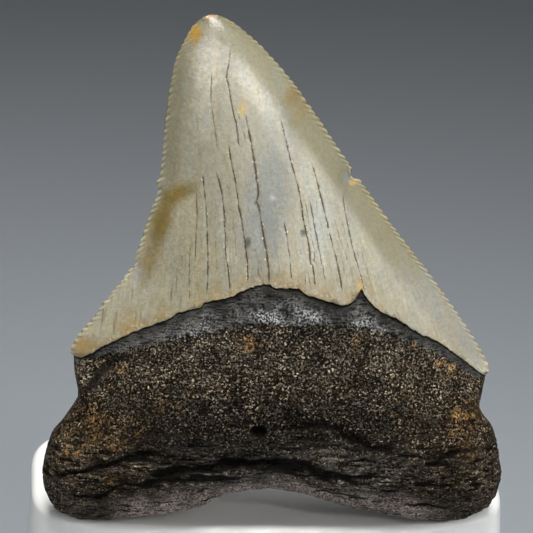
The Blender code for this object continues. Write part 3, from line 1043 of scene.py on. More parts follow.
@cache
def grain_effect() -> bpy.types.NodeTree:
    """Builds the grains: a tone for each grain, and its domed height."""
    nodes, given, result = new_effect("grains", {"Point": None, "Size": 0.25, "Stretch": 1.0}, ("Tone", "Dome"))
    size = given["Size"]
    cells = nodes.add("TexVoronoi")
    nodes.wire(nodes.stretch(given["Point"], (size * given["Stretch"], size, size)), cells.inputs["Vector"])
    nodes.wire(1.0, cells.inputs["Scale"])
    parts = nodes.add("SeparateColor")
    nodes.wire(nodes.output(cells, "Color"), parts.inputs[0])
    nodes.wire(nodes.output(parts), result["Tone"])
    nodes.wire(nodes.output(cells, "Distance").ease(0.75, 0.0), result["Dome"])
    return nodes.tree


@cache
def patch_effect() -> bpy.types.NodeTree:
    """Builds the patches: soft islands of one thing in another, with a chosen size and share."""
    nodes, given, result = new_effect(
        "patches", {"Point": None, "Size": 3.0, "Share": 0.5, "Softness": 0.1, "Seed": 0.0}, ["Mask"]
    )
    moved = nodes.add("VectorMath", operation="ADD")
    nodes.wire(nodes.stretch(given["Point"], (given["Size"],) * 3), moved.inputs[0])
    nodes.wire(given["Seed"], moved.inputs[1])
    middle = 0.68 - 0.36 * given["Share"]
    value = nodes.noise(nodes.output(moved), 1.0, 4.0, 0.6)
    nodes.wire(value.ease(middle - given["Softness"], middle + given["Softness"]), result["Mask"])
    return nodes.tree


# ---- Finishes ----


@dataclass(frozen=True)
class Seat:
    """Where the tooth is set: leaned back about X, then moved, in millimetres."""

    lean: float
    offset: Vector

    def matrix(self) -> Matrix:
        """Returns the matrix from the tooth's own millimetres to metres in the room."""
        turned = Matrix.Rotation(-math.radians(self.lean), 4, "X")
        return Matrix.Scale(MM, 4) @ Matrix.Translation(self.offset) @ turned


@dataclass(frozen=True)
class Spot:
    """A soft ragged oval in the surface, in the tooth's own frame. Its turn is in radians."""

    place: Point
    size: Point
    turn: float
    strength: float
    ragged: float


@dataclass(frozen=True)
class ColourSpot(Spot):
    """A spot with a colour of its own."""

    colour: Colour


def new_material(name: str) -> tuple[bpy.types.Material, Nodes, bpy.types.NodeInputs]:
    """Makes a material and returns it, its nodes and its shader's inputs."""
    material = bpy.data.materials.new(name)
    material.use_nodes = True
    return material, Nodes(material.node_tree), material.node_tree.nodes["Principled BSDF"].inputs


def add_bump(nodes: Nodes, shader: bpy.types.NodeInputs, height: Value) -> None:
    """Feeds a height in millimetres to a shader's normal."""
    bump = nodes.add("Bump")
    bump.inputs["Distance"].default_value = MM
    bump.inputs["Strength"].default_value = 1.0
    nodes.wire(height, bump.inputs["Height"])
    nodes.wire(nodes.output(bump), shader["Normal"])


def spot_mask(nodes: Nodes, point: Value, spot: Spot) -> Value:
    """Places a spot in a material and returns where it shows, without its strength."""
    (x, z), (half_width, half_height) = spot.place, spot.size
    made = nodes.group(
        spot_effect(),
        Point=point,
        X=x,
        Z=z,
        Half_Width=half_width,
        Half_Height=half_height,
        Turn=spot.turn,
        Ragged=spot.ragged,
    )
    return made["Spot"]


def strongest(nodes: Nodes, point: Value, spots: Sequence[Spot], least: Value | float = 0.0) -> Value:
    """Places spots in a material.

    Args:
        nodes: The material's nodes.
        point: The surface point in the tooth's own millimetres.
        spots: The spots.
        least: The value where none of them is stronger.

    Returns:
        The strongest spot's strength at each point.
    """
    shown = least
    for spot in spots:
        shown = (spot_mask(nodes, point, spot) * spot.strength).at_least(shown)
    return shown


class EnamelSurface:
    """What the enamel's colours are worked out from, at each point of the surface."""

    def __init__(self, nodes: Nodes, seat: Seat) -> None:
        """Adds the nodes that give it.

        Args:
            nodes: The material's nodes.
            seat: Where the tooth is set, so that the pattern stays on it.
        """
        self.nodes = nodes
        self.point = nodes.point(seat.matrix().inverted())
        self.x, _, self.z = nodes.split(self.point)
        self.below, self.bead, self.inner, self.glass_and_shade = map(nodes.mark, ("below", "bead", "inner", "glass_and_shade"))
        self.broad = self.streaks(0.9, 14.0, 3.0)
        self.fine = self.streaks(0.3, 4.0, 8.0)
        self.specks = nodes.group(grain_effect(), Point=self.point, Size=0.26)
        self.mottle = nodes.noise(self.point, 2.2, 4.0, 0.7)
        gap, width = map(nodes.mark, ("crack_gap", "crack_width"))
        self.cracks = nodes.group(hairline_effect(), Point=self.point, Gap=gap, Width=width)

    def streaks(self, spacing: float, length: float, seed: float) -> Value:
        """Adds streaks of a spacing and length, in millimetres."""
        made = self.nodes.group(streak_effect(), Point=self.point, Spacing=spacing, Length=length, Seed=seed)
        return made["Value"]

    def patches(self, size: float, softness: float, seed: float) -> Value:
        """Adds patches of a size in millimetres, which cover half of the surface."""
        made = self.nodes.group(patch_effect(), Point=self.point, Size=size, Share=0.5, Softness=softness, Seed=seed)
        return made["Mask"]


@dataclass(frozen=True)
class EnamelFinish:
    """Fossil enamel: cream-grey, satin, finely cracked and stained, glassier towards its edges with painted shade on
    its right bevel, and with painted highlights along its crest and by its tip.
    """

    cream: Colour = (0.276, 0.252, 0.172)
    grey: Colour = (0.192, 0.194, 0.160)
    streak_dark: Colour = (0.115, 0.083, 0.036)
    streak_pale: Colour = (0.46, 0.44, 0.34)
    glass_and_shade: Colour = (0.122, 0.107, 0.044)
    low_glass: Colour = (0.165, 0.158, 0.125)
    ochre: Colour = (0.185, 0.146, 0.062)
    border_shade: Colour = (0.135, 0.105, 0.052)
    border_rust: Colour = (0.25, 0.145, 0.035)
    border_pale: Colour = (0.48, 0.42, 0.27)
    bead: Colour = (0.46, 0.41, 0.27)
    notch: Colour = (0.13, 0.105, 0.058)
    crack: Colour = (0.030, 0.020, 0.014)
    high_crack: Colour = (0.062, 0.040, 0.022)
    crack_margin: Colour = (0.145, 0.108, 0.062)
    crumb: Colour = (0.33, 0.21, 0.07)
    pale_crumb: Colour = (0.62, 0.55, 0.36)
    dot: Colour = (0.13, 0.095, 0.05)
    cool: tuple[Colour, Colour] = ((0.95, 0.99, 1.08), (0.955, 0.99, 1.055))  # a fine tint and a broad one
    warm: tuple[Colour, Colour] = ((1.04, 1.01, 0.91), (1.045, 1.0, 0.92))
    stains_and_highlights: tuple[ColourSpot, ...] = (
        ColourSpot((-0.6, 36.0), (3.0, 10.0), 0.18, 0.78, 0.8, (0.122, 0.130, 0.116)),
        ColourSpot((-7.6, 29.2), (1.9, 2.4), 0.0, 0.6, 1.2, (0.33, 0.30, 0.20)),
        ColourSpot((-9.5, 26.5), (5.0, 5.0), 0.0, 0.5, 1.0, (0.205, 0.185, 0.112)),
        # Painted highlight: this spot and the next three are pale streaks along the crown's crest and by its tip,
        # where the key light's highlight falls.
        ColourSpot((2.6, 38.9), (1.3, 11.5), -0.546, 0.38, 1.2, (0.36, 0.35, 0.295)),
        ColourSpot((-2.4, 47.2), (1.2, 4.8), -0.66, 0.55, 1.2, (0.43, 0.42, 0.37)),
        ColourSpot((-7.5, 46.0), (1.4, 6.0), 0.08, 0.55, 1.2, (0.37, 0.355, 0.295)),
        ColourSpot((-7.0, 50.0), (2.0, 3.0), 0.1, 0.55, 1.2, (0.44, 0.41, 0.35)),
        ColourSpot((-10.0, 35.7), (1.0, 2.5), 0.95, 0.9, 0.5, (0.145, 0.100, 0.014)),
        ColourSpot((-11.7, 32.6), (1.2, 3.4), 0.28, 0.92, 0.5, (0.125, 0.082, 0.008)),
        ColourSpot((-12.9, 28.3), (0.9, 2.8), 0.3, 0.75, 0.6, (0.16, 0.115, 0.034)),
        ColourSpot((-8.5, 52.6), (0.85, 1.1), 0.3, 1.0, 0.9, (0.31, 0.185, 0.022)),
        ColourSpot((-6.4, 53.6), (1.3, 0.7), 0.0, 0.75, 0.9, (0.13, 0.115, 0.075)),
        ColourSpot((-7.0, 54.4), (0.9, 0.3), 0.0, 0.7, 0.5, (0.34, 0.19, 0.08)),
        ColourSpot((-3.5, 45.2), (0.5, 1.1), 0.25, 0.8, 1.8, (0.35, 0.26, 0.105)),
        ColourSpot((1.8, 46.0), (1.2, 1.3), 0.5, 1.0, 0.8, (0.125, 0.082, 0.008)),
        ColourSpot((2.6, 44.4), (0.8, 1.9), 0.6, 0.8, 1.0, (0.14, 0.105, 0.022)),
        ColourSpot((-20.0, 19.3), (1.3, 1.1), 0.0, 0.75, 0.6, (0.23, 0.15, 0.05)),
        ColourSpot((-14.1, 26.8), (0.7, 1.3), 0.45, 0.5, 1.0, (0.22, 0.225, 0.20)),
        ColourSpot((-2.9, 33.4), (0.9, 3.4), 0.1, 0.65, 0.9, (0.215, 0.225, 0.212)),
        ColourSpot((-1.9, 31.5), (0.8, 2.8), 0.1, 0.5, 0.9, (0.245, 0.252, 0.235)),
        ColourSpot((4.3, 32.3), (1.6, 4.0), 0.2, 0.5, 0.9, (0.32, 0.33, 0.30)),
        ColourSpot((-2.8, 31.3), (0.36, 0.75), 0.2, 0.95, 0.8, (0.036, 0.036, 0.038)),
        ColourSpot((-2.05, 35.5), (0.22, 0.3), 0.3, 0.8, 0.9, (0.07, 0.06, 0.05)),
        ColourSpot((3.0, 32.4), (0.4, 0.6), 0.5, 0.95, 0.8, (0.045, 0.045, 0.047)),
        ColourSpot((-5.0, 31.6), (0.14, 0.35), 0.0, 0.6, 0.6, (0.12, 0.11, 0.09)),
        ColourSpot((-0.3, 36.0), (0.5, 0.5), 0.0, 0.6, 0.3, (0.20, 0.215, 0.215)),
        ColourSpot((-0.3, 36.0), (0.3, 0.3), 0.0, 0.8, 0.3, (0.29, 0.30, 0.28)),
        ColourSpot((7.7, 37.6), (0.55, 0.8), 0.3, 0.7, 1.0, (0.15, 0.16, 0.155)),
        ColourSpot((8.35, 36.9), (0.48, 0.34), 0.0, 0.75, 0.6, (0.42, 0.26, 0.08)),
        ColourSpot((0.3, 34.8), (0.22, 0.5), 0.3, 0.7, 1.4, (0.20, 0.135, 0.04)),
        ColourSpot((1.5, 27.9), (0.5, 0.3), 0.0, 0.7, 1.2, (0.30, 0.18, 0.05)),
        ColourSpot((9.0, 26.6), (0.3, 0.6), 0.0, 0.8, 1.2, (0.38, 0.23, 0.06)),
    )
    roughness: float = 0.33
    ior: float = 1.75

    def material(self, seat: Seat) -> bpy.types.Material:
        """Builds the material.

        Args:
            seat: Where the tooth is set.

        Returns:
            The material.
        """
        material, nodes, shader = new_material("fossil_enamel")
        at = EnamelSurface(nodes, seat)
        colour = self.glassy(at, self.body(at))
        colour = self.stained_border(at, colour)
        # Besides stains, these spots include painted highlights.
        for colour_spot in self.stains_and_highlights:
            share = spot_mask(nodes, at.point, colour_spot) * at.inner * colour_spot.strength
            colour = nodes.blend(share, colour, colour_spot.colour)
        colour = nodes.blend(at.bead.ease(0.0, -0.35, 0.0, 0.35), colour, self.notch)
        colour = nodes.blend(at.bead.ease(0.05, 0.4, 0.0, 0.5), colour, self.bead)
        colour = self.uneven(at, self.cracked(at, colour))
        nodes.wire(colour, shader["Base Color"])

        line = at.cracks["Line"]
        nodes.wire(self.roughness - 0.07 + 0.14 * at.mottle + 0.4 * line, shader["Roughness"])
        add_bump(nodes, shader, 0.055 * nodes.noise(at.point, 4.6, 3.0, 0.7) + 0.02 * at.fine - 0.09 * line)
        shader["IOR"].default_value = self.ior
        shader["Subsurface Weight"].default_value = 0.1
        shader["Subsurface Radius"].default_value = (1.0, 0.8, 0.5)
        shader["Subsurface Scale"].default_value = 0.8 * MM
        return material

    def body(self, at: EnamelSurface) -> Value:
        """Returns the enamel's own colour, cloudy and drawn out into streaks."""
        nodes = at.nodes
        colour = nodes.blend(0.6 * at.patches(4.5, 0.25, 1.0), self.cream, self.grey)
        colour = nodes.blend(at.broad.ease(0.46, 0.66, 0.0, 0.45), colour, self.grey)
        colour = nodes.blend(at.broad.ease(0.48, 0.32, 0.0, 0.4), colour, self.cream)
        lowness = at.below.ease(-15.0, -1.0)
        low_left = at.below.ease(-7.0, -0.5) * at.x.ease(-4.0, -9.0, 0.0, 0.5)
        dark = at.fine.ease(0.55, 0.7) * (low_left + 0.1 + 0.45 * lowness)
        colour = nodes.blend(dark, colour, self.streak_dark)
        pale = at.fine.ease(0.42, 0.28) * (0.15 + 0.3 * lowness)
        return nodes.blend(pale, colour, self.streak_pale)

    def glassy(self, at: EnamelSurface, colour: Value) -> Value:
        """Lets the dark inside show where the enamel is thin, and paints shade on the right bevel, which turns from
        the light.
        """
        thin = at.nodes.blend(at.z.ease(23.0, 31.0), self.low_glass, self.glass_and_shade)
        glass_and_shade = at.glass_and_shade + 0.25 * (at.mottle - 0.5)
        return at.nodes.blend(glass_and_shade.ease(0.1, 0.9, 0.0, 0.92), colour, thin)

    def stained_border(self, at: EnamelSurface, colour: Value) -> Value:
        """Adds the ochre and the crumbs that have gathered along the enamel's border."""
        nodes, below, tone = at.nodes, at.below, at.specks["Tone"]
        leftwards = at.x.ease(13.0, 9.0, 0.15, 1.0)
        warm = at.patches(1.5, 0.14, 5.0) * leftwards
        colour = nodes.blend(0.8 * below.ease(-4.2, -0.3) * warm, colour, self.ochre)
        colour = nodes.blend(0.45 * below.ease(-1.8, -0.1) * leftwards, colour, self.border_shade)
        rusty = 0.75 * below.ease(-2.2, -0.3) * warm * tone.ease(0.5, 0.72)
        colour = nodes.blend(rusty, colour, self.border_rust)
        return nodes.blend(0.5 * below.ease(-1.6, -0.2) * tone.ease(0.3, 0.12), colour, self.border_pale)

    def cracked(self, at: EnamelSurface, colour: Value) -> Value:
        """Adds the cracks, and the crumbs in the stained margins beside them."""
        nodes, tone, dome = at.nodes, at.specks["Tone"], at.specks["Dome"]
        line, margin = at.cracks["Line"], at.cracks["Margin"]
        colour = nodes.blend(0.42 * margin, colour, self.crack_margin)
        crumb = nodes.blend(tone.ease(0.8, 0.9), self.crumb, self.pale_crumb)
        colour = nodes.blend(0.9 * margin * tone.ease(0.42, 0.6) * dome.ease(0.15, 0.55), colour, crumb)
        crack = nodes.blend(at.z.ease(36.0, 45.0), self.crack, self.high_crack)
        colour = nodes.blend(0.92 * line, colour, crack)
        return nodes.blend(0.6 * tone.ease(0.965, 0.99) * dome.ease(0.3, 0.8), colour, self.dot)

    def uneven(self, at: EnamelSurface, colour: Value) -> Value:
        """Makes the colour mottled and sandy, here cooler and there warmer."""
        nodes = at.nodes
        warmth = nodes.noise(at.point, 3.1, 3.0, 0.7).ease(0.3, 0.7)
        drift = at.broad.ease(0.38, 0.62)
        tints = (
            (at.mottle, (0.64,) * 3, (1.36,) * 3),
            (warmth, self.cool[0], self.warm[0]),
            (drift, self.cool[1], self.warm[1]),
            (at.specks["Tone"], (0.89,) * 3, (1.11,) * 3),
        )
        for share, low, high in tints:
            colour = nodes.tinted(colour, nodes.blend(share, low, high))
        return colour


class RootSurface:
    """What the root's colours are worked out from, at each point of the surface."""

    def __init__(self, nodes: Nodes, seat: Seat) -> None:
        """Adds the nodes that give it.

        Args:
            nodes: The material's nodes.
            seat: Where the tooth is set, so that the pattern stays on it.
        """
        point = nodes.point(seat.matrix().inverted())
        self.nodes, self.point = nodes, point
        self.x, _, self.z = nodes.split(point)
        self.aside = abs(self.x - 1.0)
        self.below, self.hollow, self.fibrous = map(nodes.mark, ("below", "hollow", "fibrous"))
        self.coarse, self.small, self.drawn = (
            nodes.group(grain_effect(), Point=point, Size=size, Stretch=stretch)
            for size, stretch in ((0.28, 1.2), (0.15, 1.3), (0.2, 3.2))
        )
        self.grit = nodes.noise(point, 4.6, 2.0, 0.6)
        self.broad = nodes.noise(point, 0.45, 3.0, 0.6)
        self.clouds = nodes.noise(point, 0.9, 4.0, 0.65)
        self.fibres = nodes.noise(nodes.stretch(point, (1.1, 1.1, 0.26)), 1.0, 3.0, 0.65)
        self.silk = nodes.noise(nodes.stretch(point, (0.8, 0.8, 0.2)), 1.0, 3.0, 0.65)
        self.foot = nodes.mark("foot") * self.aside.ease(20.5, 14.0, 0.1, 1.0)
        self.lobe = self.aside.ease(10.0, 15.0) * self.z.ease(14.5, 11.5)
        self.lit = self.grit.ease(0.475, 0.61) * self.z.ease(8.0, 13.0, 0.6, 1.0) * (1.0 - 0.4 * self.lobe)
        band = nodes.mark("band")
        self.band = (band + 1.6 * (self.grit - 0.5)).ease(0.25, 0.8) * band.ease(0.0, 0.2)
        self.cleft = self.clefts()
        self.glints = self.glinting()

    def clefts(self) -> Value:
        """Returns where the root is split into fibres."""
        folds = self.nodes.noise(self.nodes.stretch(self.point, (3.2, 1.6, 0.9)), 1.0, 3.0, 0.6)
        return abs(folds - 0.5).ease(0.026, 0.004) * self.broad.ease(0.44, 0.56) * (0.2 + 0.8 * self.fibrous)

    def glinting(self) -> Value:
        """Returns how brightly the grains catch the light."""
        glints = self.coarse["Tone"].ease(0.62, 0.9) * self.coarse["Dome"].ease(0.1, 0.45)
        glints = glints.at_least(self.small["Tone"].ease(0.71, 0.95))
        glints = glints * self.grit.ease(0.44, 0.58) * self.clouds.ease(0.62, 0.42, 0.3, 1.0)
        return glints * self.lobe.at_least(self.aside.ease(8.0, 16.0, 1.0, 0.6))


@dataclass(frozen=True)
class RootFinish:
    """Fossil root: charcoal brown and granular, a smooth slate band on top, paler fibrous bone underneath. Shade in
    its hollows and under the enamel's edge, and light on its rims and foot, are painted into its colour.

    A pair of colours is dark and lit.
    """

    ground: Colour = (0.0034, 0.0021, 0.0010)
    brown: Colour = (0.036, 0.0225, 0.0105)
    grain: Colour = (0.055, 0.0435, 0.027)
    glint: Colour = (0.45, 0.395, 0.31)
    dull_glint: Colour = (0.12, 0.102, 0.078)
    gold_glint: Colour = (0.36, 0.235, 0.105)
    greyer: tuple[Colour, Colour] = ((0.006, 0.0052, 0.0040), (0.072, 0.064, 0.053))
    rust: tuple[Colour, Colour] = ((0.026, 0.016, 0.007), (0.40, 0.225, 0.075))
    rope_gap: Colour = (0.002, 0.002, 0.0015)
    rope: Colour = (0.155, 0.142, 0.131)
    side_rope: Colour = (0.105, 0.082, 0.056)
    bone_gap: Colour = (0.020, 0.017, 0.015)
    # Partly painted light: the foot's bone is paler, and lighter still for the light that the block casts back up.
    bone: tuple[Colour, Colour] = ((0.12, 0.095, 0.082), (0.30, 0.25, 0.225))
    slate: tuple[Colour, Colour] = ((0.003, 0.003, 0.0028), (0.041, 0.039, 0.036))
    pale_slate: Colour = (0.085, 0.083, 0.078)
    # Painted shadow along the top of the band, under the enamel's overhang.
    painted_gutter_shadow: Colour = (0.008, 0.008, 0.007)
    painted_sheen: Colour = (0.34, 0.35, 0.35)
    # Painted shade in the hollows and a painted shadow under the enamel's edge; also the colour of the clefts.
    dark: Colour = (0.006, 0.005, 0.004)
    rusty: tuple[Spot, ...] = (
        Spot((-18.2, 12.4), (1.6, 1.3), 0.3, 0.8, 1.6),
        Spot((-14.2, 11.6), (1.1, 1.3), -0.4, 0.6, 1.6),
        Spot((-16.4, 5.9), (1.9, 1.1), 0.0, 0.75, 1.6),
        Spot((-21.3, 8.4), (1.5, 2.0), 0.0, 0.7, 1.6),
        Spot((-17.5, 9.8), (3.5, 3.2), 0.0, 0.45, 1.8),
        Spot((-15.8, 17.3), (0.7, 0.6), 0.0, 0.5, 1.4),
        Spot((-11.2, 13.6), (1.5, 1.1), 0.0, 0.35, 1.6),
        Spot((-2.5, 20.8), (1.4, 0.9), 0.0, 0.7, 1.6),
        Spot((8.7, 20.6), (0.5, 1.2), 0.0, 0.6, 1.2),
        Spot((20.2, 12.2), (2.2, 1.9), -0.4, 0.85, 1.6),
        Spot((20.8, 8.8), (2.2, 2.0), 0.0, 0.55, 1.8),
        Spot((18.4, 17.4), (1.9, 1.2), 0.5, 0.5, 1.6),
        Spot((15.0, 20.0), (0.5, 0.4), 0.0, 0.6, 1.0),
    )
    # Places of painted sheen on the band.
    sheen: tuple[Spot, ...] = (
        Spot((-0.9, 23.5), (2.4, 0.9), 0.1, 0.95, 0.8),
        Spot((4.2, 23.6), (2.4, 1.2), -0.15, 0.65, 1.2),
        Spot((8.4, 22.4), (2.8, 0.8), -0.35, 0.6, 1.2),
    )
    paler: tuple[Spot, ...] = (
        Spot((5.0, 8.6), (5.5, 1.5), 0.15, 0.8, 1.0),
        Spot((-13.6, 7.2), (3.0, 1.0), -0.1, 0.6, 1.0),
    )
    roughness: float = 0.52
    specular: float = 0.04

    def material(self, seat: Seat) -> bpy.types.Material:
        """Builds the material.

        Args:
            seat: Where the tooth is set.

        Returns:
            The material.
        """
        material, nodes, shader = new_material("fossil_root")
        at = RootSurface(nodes, seat)
        hue = nodes.blend(at.clouds.ease(0.4, 0.6), self.brown, self.grain)
        colour = self.rusted(at, self.granular(at, hue))
        colour = nodes.blend(at.fibrous * at.clouds.ease(0.6, 0.42, 0.2, 0.85), colour, self.ropes(at, hue))
        colour = nodes.blend(at.cleft, colour, self.dark)
        bone = nodes.blend(at.drawn["Tone"], *self.bone)
        bone = nodes.blend(at.grit.ease(0.42, 0.56, 0.1, 1.0), self.bone_gap, bone)
        colour = nodes.blend(0.85 * at.foot, colour, bone)
        colour = nodes.blend(at.band, colour, self.slates(at))
        # Painted shade in the grooves, pits, gutter and gaps between fibres.
        colour = nodes.blend(at.hollow.ease(0.25, 0.9, 0.0, 0.95), colour, self.dark)
        # Painted shadow: a thin black line under the overhanging edge of the enamel.
        colour = nodes.blend(at.below.ease(0.3, 0.1, 0.0, 0.95), colour, self.dark)
        # Painted light and shade: the colour is multiplied by the level, from 0 to 2.
        shade = nodes.blend(0.5 * self.level(at), (0.0,) * 3, (2.0,) * 3)
        nodes.wire(nodes.tinted(colour, shade), shader["Base Color"])

        shader["Specular IOR Level"].default_value = self.specular
        rough = self.roughness + 0.1 - 0.25 * at.coarse["Tone"] - 0.1 * at.band
        nodes.wire(rough, shader["Roughness"])
        height = at.grit * (0.2 - 0.09 * at.band) + 0.05 * at.drawn["Dome"] * at.foot
        height = height + 0.2 * at.fibres * at.fibrous + 0.16 * at.silk * at.band - 0.1 * at.cleft
        add_bump(nodes, shader, height)
        return material

    def granular(self, at: RootSurface, hue: Value) -> Value:
        """Returns the dark ground with its lit grains and glints."""
        nodes = at.nodes
        colour = nodes.blend(at.lit, self.ground, hue)
        glint = nodes.blend(at.small["Tone"].ease(0.6, 1.0), self.dull_glint, self.glint)
        gold = nodes.noise(at.point, 1.4, 2.0).ease(0.52, 0.66, 0.0, 0.5).at_least(0.6 * at.lobe)
        colour = nodes.blend(at.glints, colour, nodes.blend(gold, glint, self.gold_glint))
        greyer = (0.6 * at.clouds.ease(0.5, 0.62) * at.z.ease(9.0, 13.0)).at_least(0.3 * at.z.ease(15.5, 19.5))
        return nodes.blend(greyer, colour, nodes.blend(at.lit, *self.greyer))

    def rusted(self, at: RootSurface, colour: Value) -> Value:
        """Adds the rusty crusts."""
        nodes = at.nodes
        share = strongest(nodes, at.point, self.rusty) * at.clouds.ease(0.42, 0.6) * at.grit.ease(0.4, 0.54)
        return nodes.blend(share, colour, nodes.blend(at.coarse["Tone"], *self.rust))

    def ropes(self, at: RootSurface, hue: Value) -> Value:
        """Returns the colour of the fibrous part: pale ropes with dark gaps between them."""
        nodes = at.nodes
        rope = nodes.blend(at.aside.ease(8.0, 16.0), self.rope, self.side_rope)
        ropes = nodes.blend(at.fibres.ease(0.4, 0.62), self.rope_gap, rope)
        ropes = nodes.blend(0.5 * at.lit, ropes, hue)
        return nodes.blend(0.6 * at.glints, ropes, self.glint)

    def slates(self, at: RootSurface) -> Value:
        """Returns the colour of the smooth band under the enamel, with a painted shadow along its top and painted
        sheen in places.
        """
        nodes, point = at.nodes, at.point
        slate = nodes.blend(at.silk.ease(0.38, 0.62), *self.slate)
        slate = nodes.blend(0.6 * at.lit * at.clouds.ease(0.4, 0.6), slate, self.pale_slate)
        # Painted shadow: darker along the band's top, under the enamel.
        slate = nodes.blend(at.below.ease(1.3, 0.4, 0.0, 0.6), slate, self.painted_gutter_shadow)
        painted_sheen = nodes.group(patch_effect(), Point=point, Size=1.9, Share=0.35, Softness=0.12, Seed=6.0)["Mask"]
        # Painted sheen: silvery flecks of reflected light, painted into the colour.
        sheen = strongest(nodes, point, self.sheen, 0.4 * painted_sheen)
        return nodes.blend(sheen * at.grit.ease(0.44, 0.6) * at.below.ease(0.8, 2.6), slate, self.painted_sheen)

    def level(self, at: RootSurface) -> Value:
        """Returns how light the root is, about 1, by which its colour is multiplied. Much of it is painted light and
        shade: darker towards the bottom, lighter at the lobes' outer rims and on the foot, where the block casts light
        back up. It is also darker in its middle and lighter on its shoulders, on two lumps low down and on the band
        away from its middle, and varies at random.
        """
        aside, z = at.aside, at.z
        middle = abs(at.x + 2.0).ease(17.0, 10.0) * z.ease(18.5, 13.5) * z.ease(6.5, 8.5)
        shoulder = aside.ease(5.0, 13.0) * z.ease(13.5, 17.5)
        low_middle = z.ease(8.5, 6.0) * aside.ease(16.0, 11.0)
        # Painted shade: darker towards the bottom.
        level = z.ease(10.0, 17.5, 0.7, 1.1) - 0.4 * middle + 0.45 * shoulder - 0.06 * at.lobe
        # Painted light: lighter at the lobes' outer rims, from 18 mm to the side outwards.
        level = level + strongest(at.nodes, at.point, self.paler) + aside.ease(18.0, 22.5, 0.0, 0.45)
        level = level + 0.4 * low_middle + 0.45 * at.band * aside.ease(4.0, 9.0)
        # Painted light: the foot is at least twice as light, for the light that the white block casts back up onto the
        # paler bone.
        return level.at_least(2.0 * at.foot) * at.broad.ease(0.3, 0.7, 0.5, 1.5)


@dataclass(frozen=True)
class PlasticFinish:
    """Glossy white moulded plastic, very slightly uneven, with a little dust."""

    white: Colour = (0.86, 0.865, 0.85)
    worn: Colour = (0.80, 0.80, 0.775)
    dust: Colour = (0.42, 0.39, 0.34)
    roughness: float = 0.24

    def material(self) -> bpy.types.Material:
        """Builds the material."""
        material, nodes, shader = new_material("white_plastic")
        point = nodes.point(Matrix.Scale(1 / MM, 4))
        cloudy = nodes.group(patch_effect(), Point=point, Size=9.0, Share=0.4, Softness=0.25, Seed=4.0)["Mask"]
        colour = nodes.blend(0.5 * cloudy, self.white, self.worn)
        specks = nodes.group(grain_effect(), Point=point, Size=0.35)
        dusty = 0.35 * specks["Tone"].ease(0.975, 1.0) * specks["Dome"].ease(0.4, 0.9)
        nodes.wire(nodes.blend(dusty, colour, self.dust), shader["Base Color"])
        nodes.wire(self.roughness - 0.07 + 0.14 * nodes.noise(point, 0.5, 4.0, 0.6), shader["Roughness"])
        add_bump(nodes, shader, 0.006 * nodes.noise(point, 1.6, 3.0))
        return material


@dataclass(frozen=True)
class FloorFinish:
    """The plain matt surface that the block stands on."""

    colour: Colour = (0.230, 0.250, 0.272)
    darker: float = 0.94
    roughness: float = 0.85

    def material(self) -> bpy.types.Material:
        """Builds the material."""
        material, nodes, shader = new_material("pale_floor")
        cloudy = nodes.noise(nodes.output(nodes.add("TexCoord"), "Object"), 9.0, 2.0)
        darker = tuple(self.darker * part for part in self.colour)
        nodes.wire(nodes.blend(cloudy, darker, self.colour), shader["Base Color"])
        shader["Roughness"].default_value = self.roughness
        return material


# ---- The pieces ----


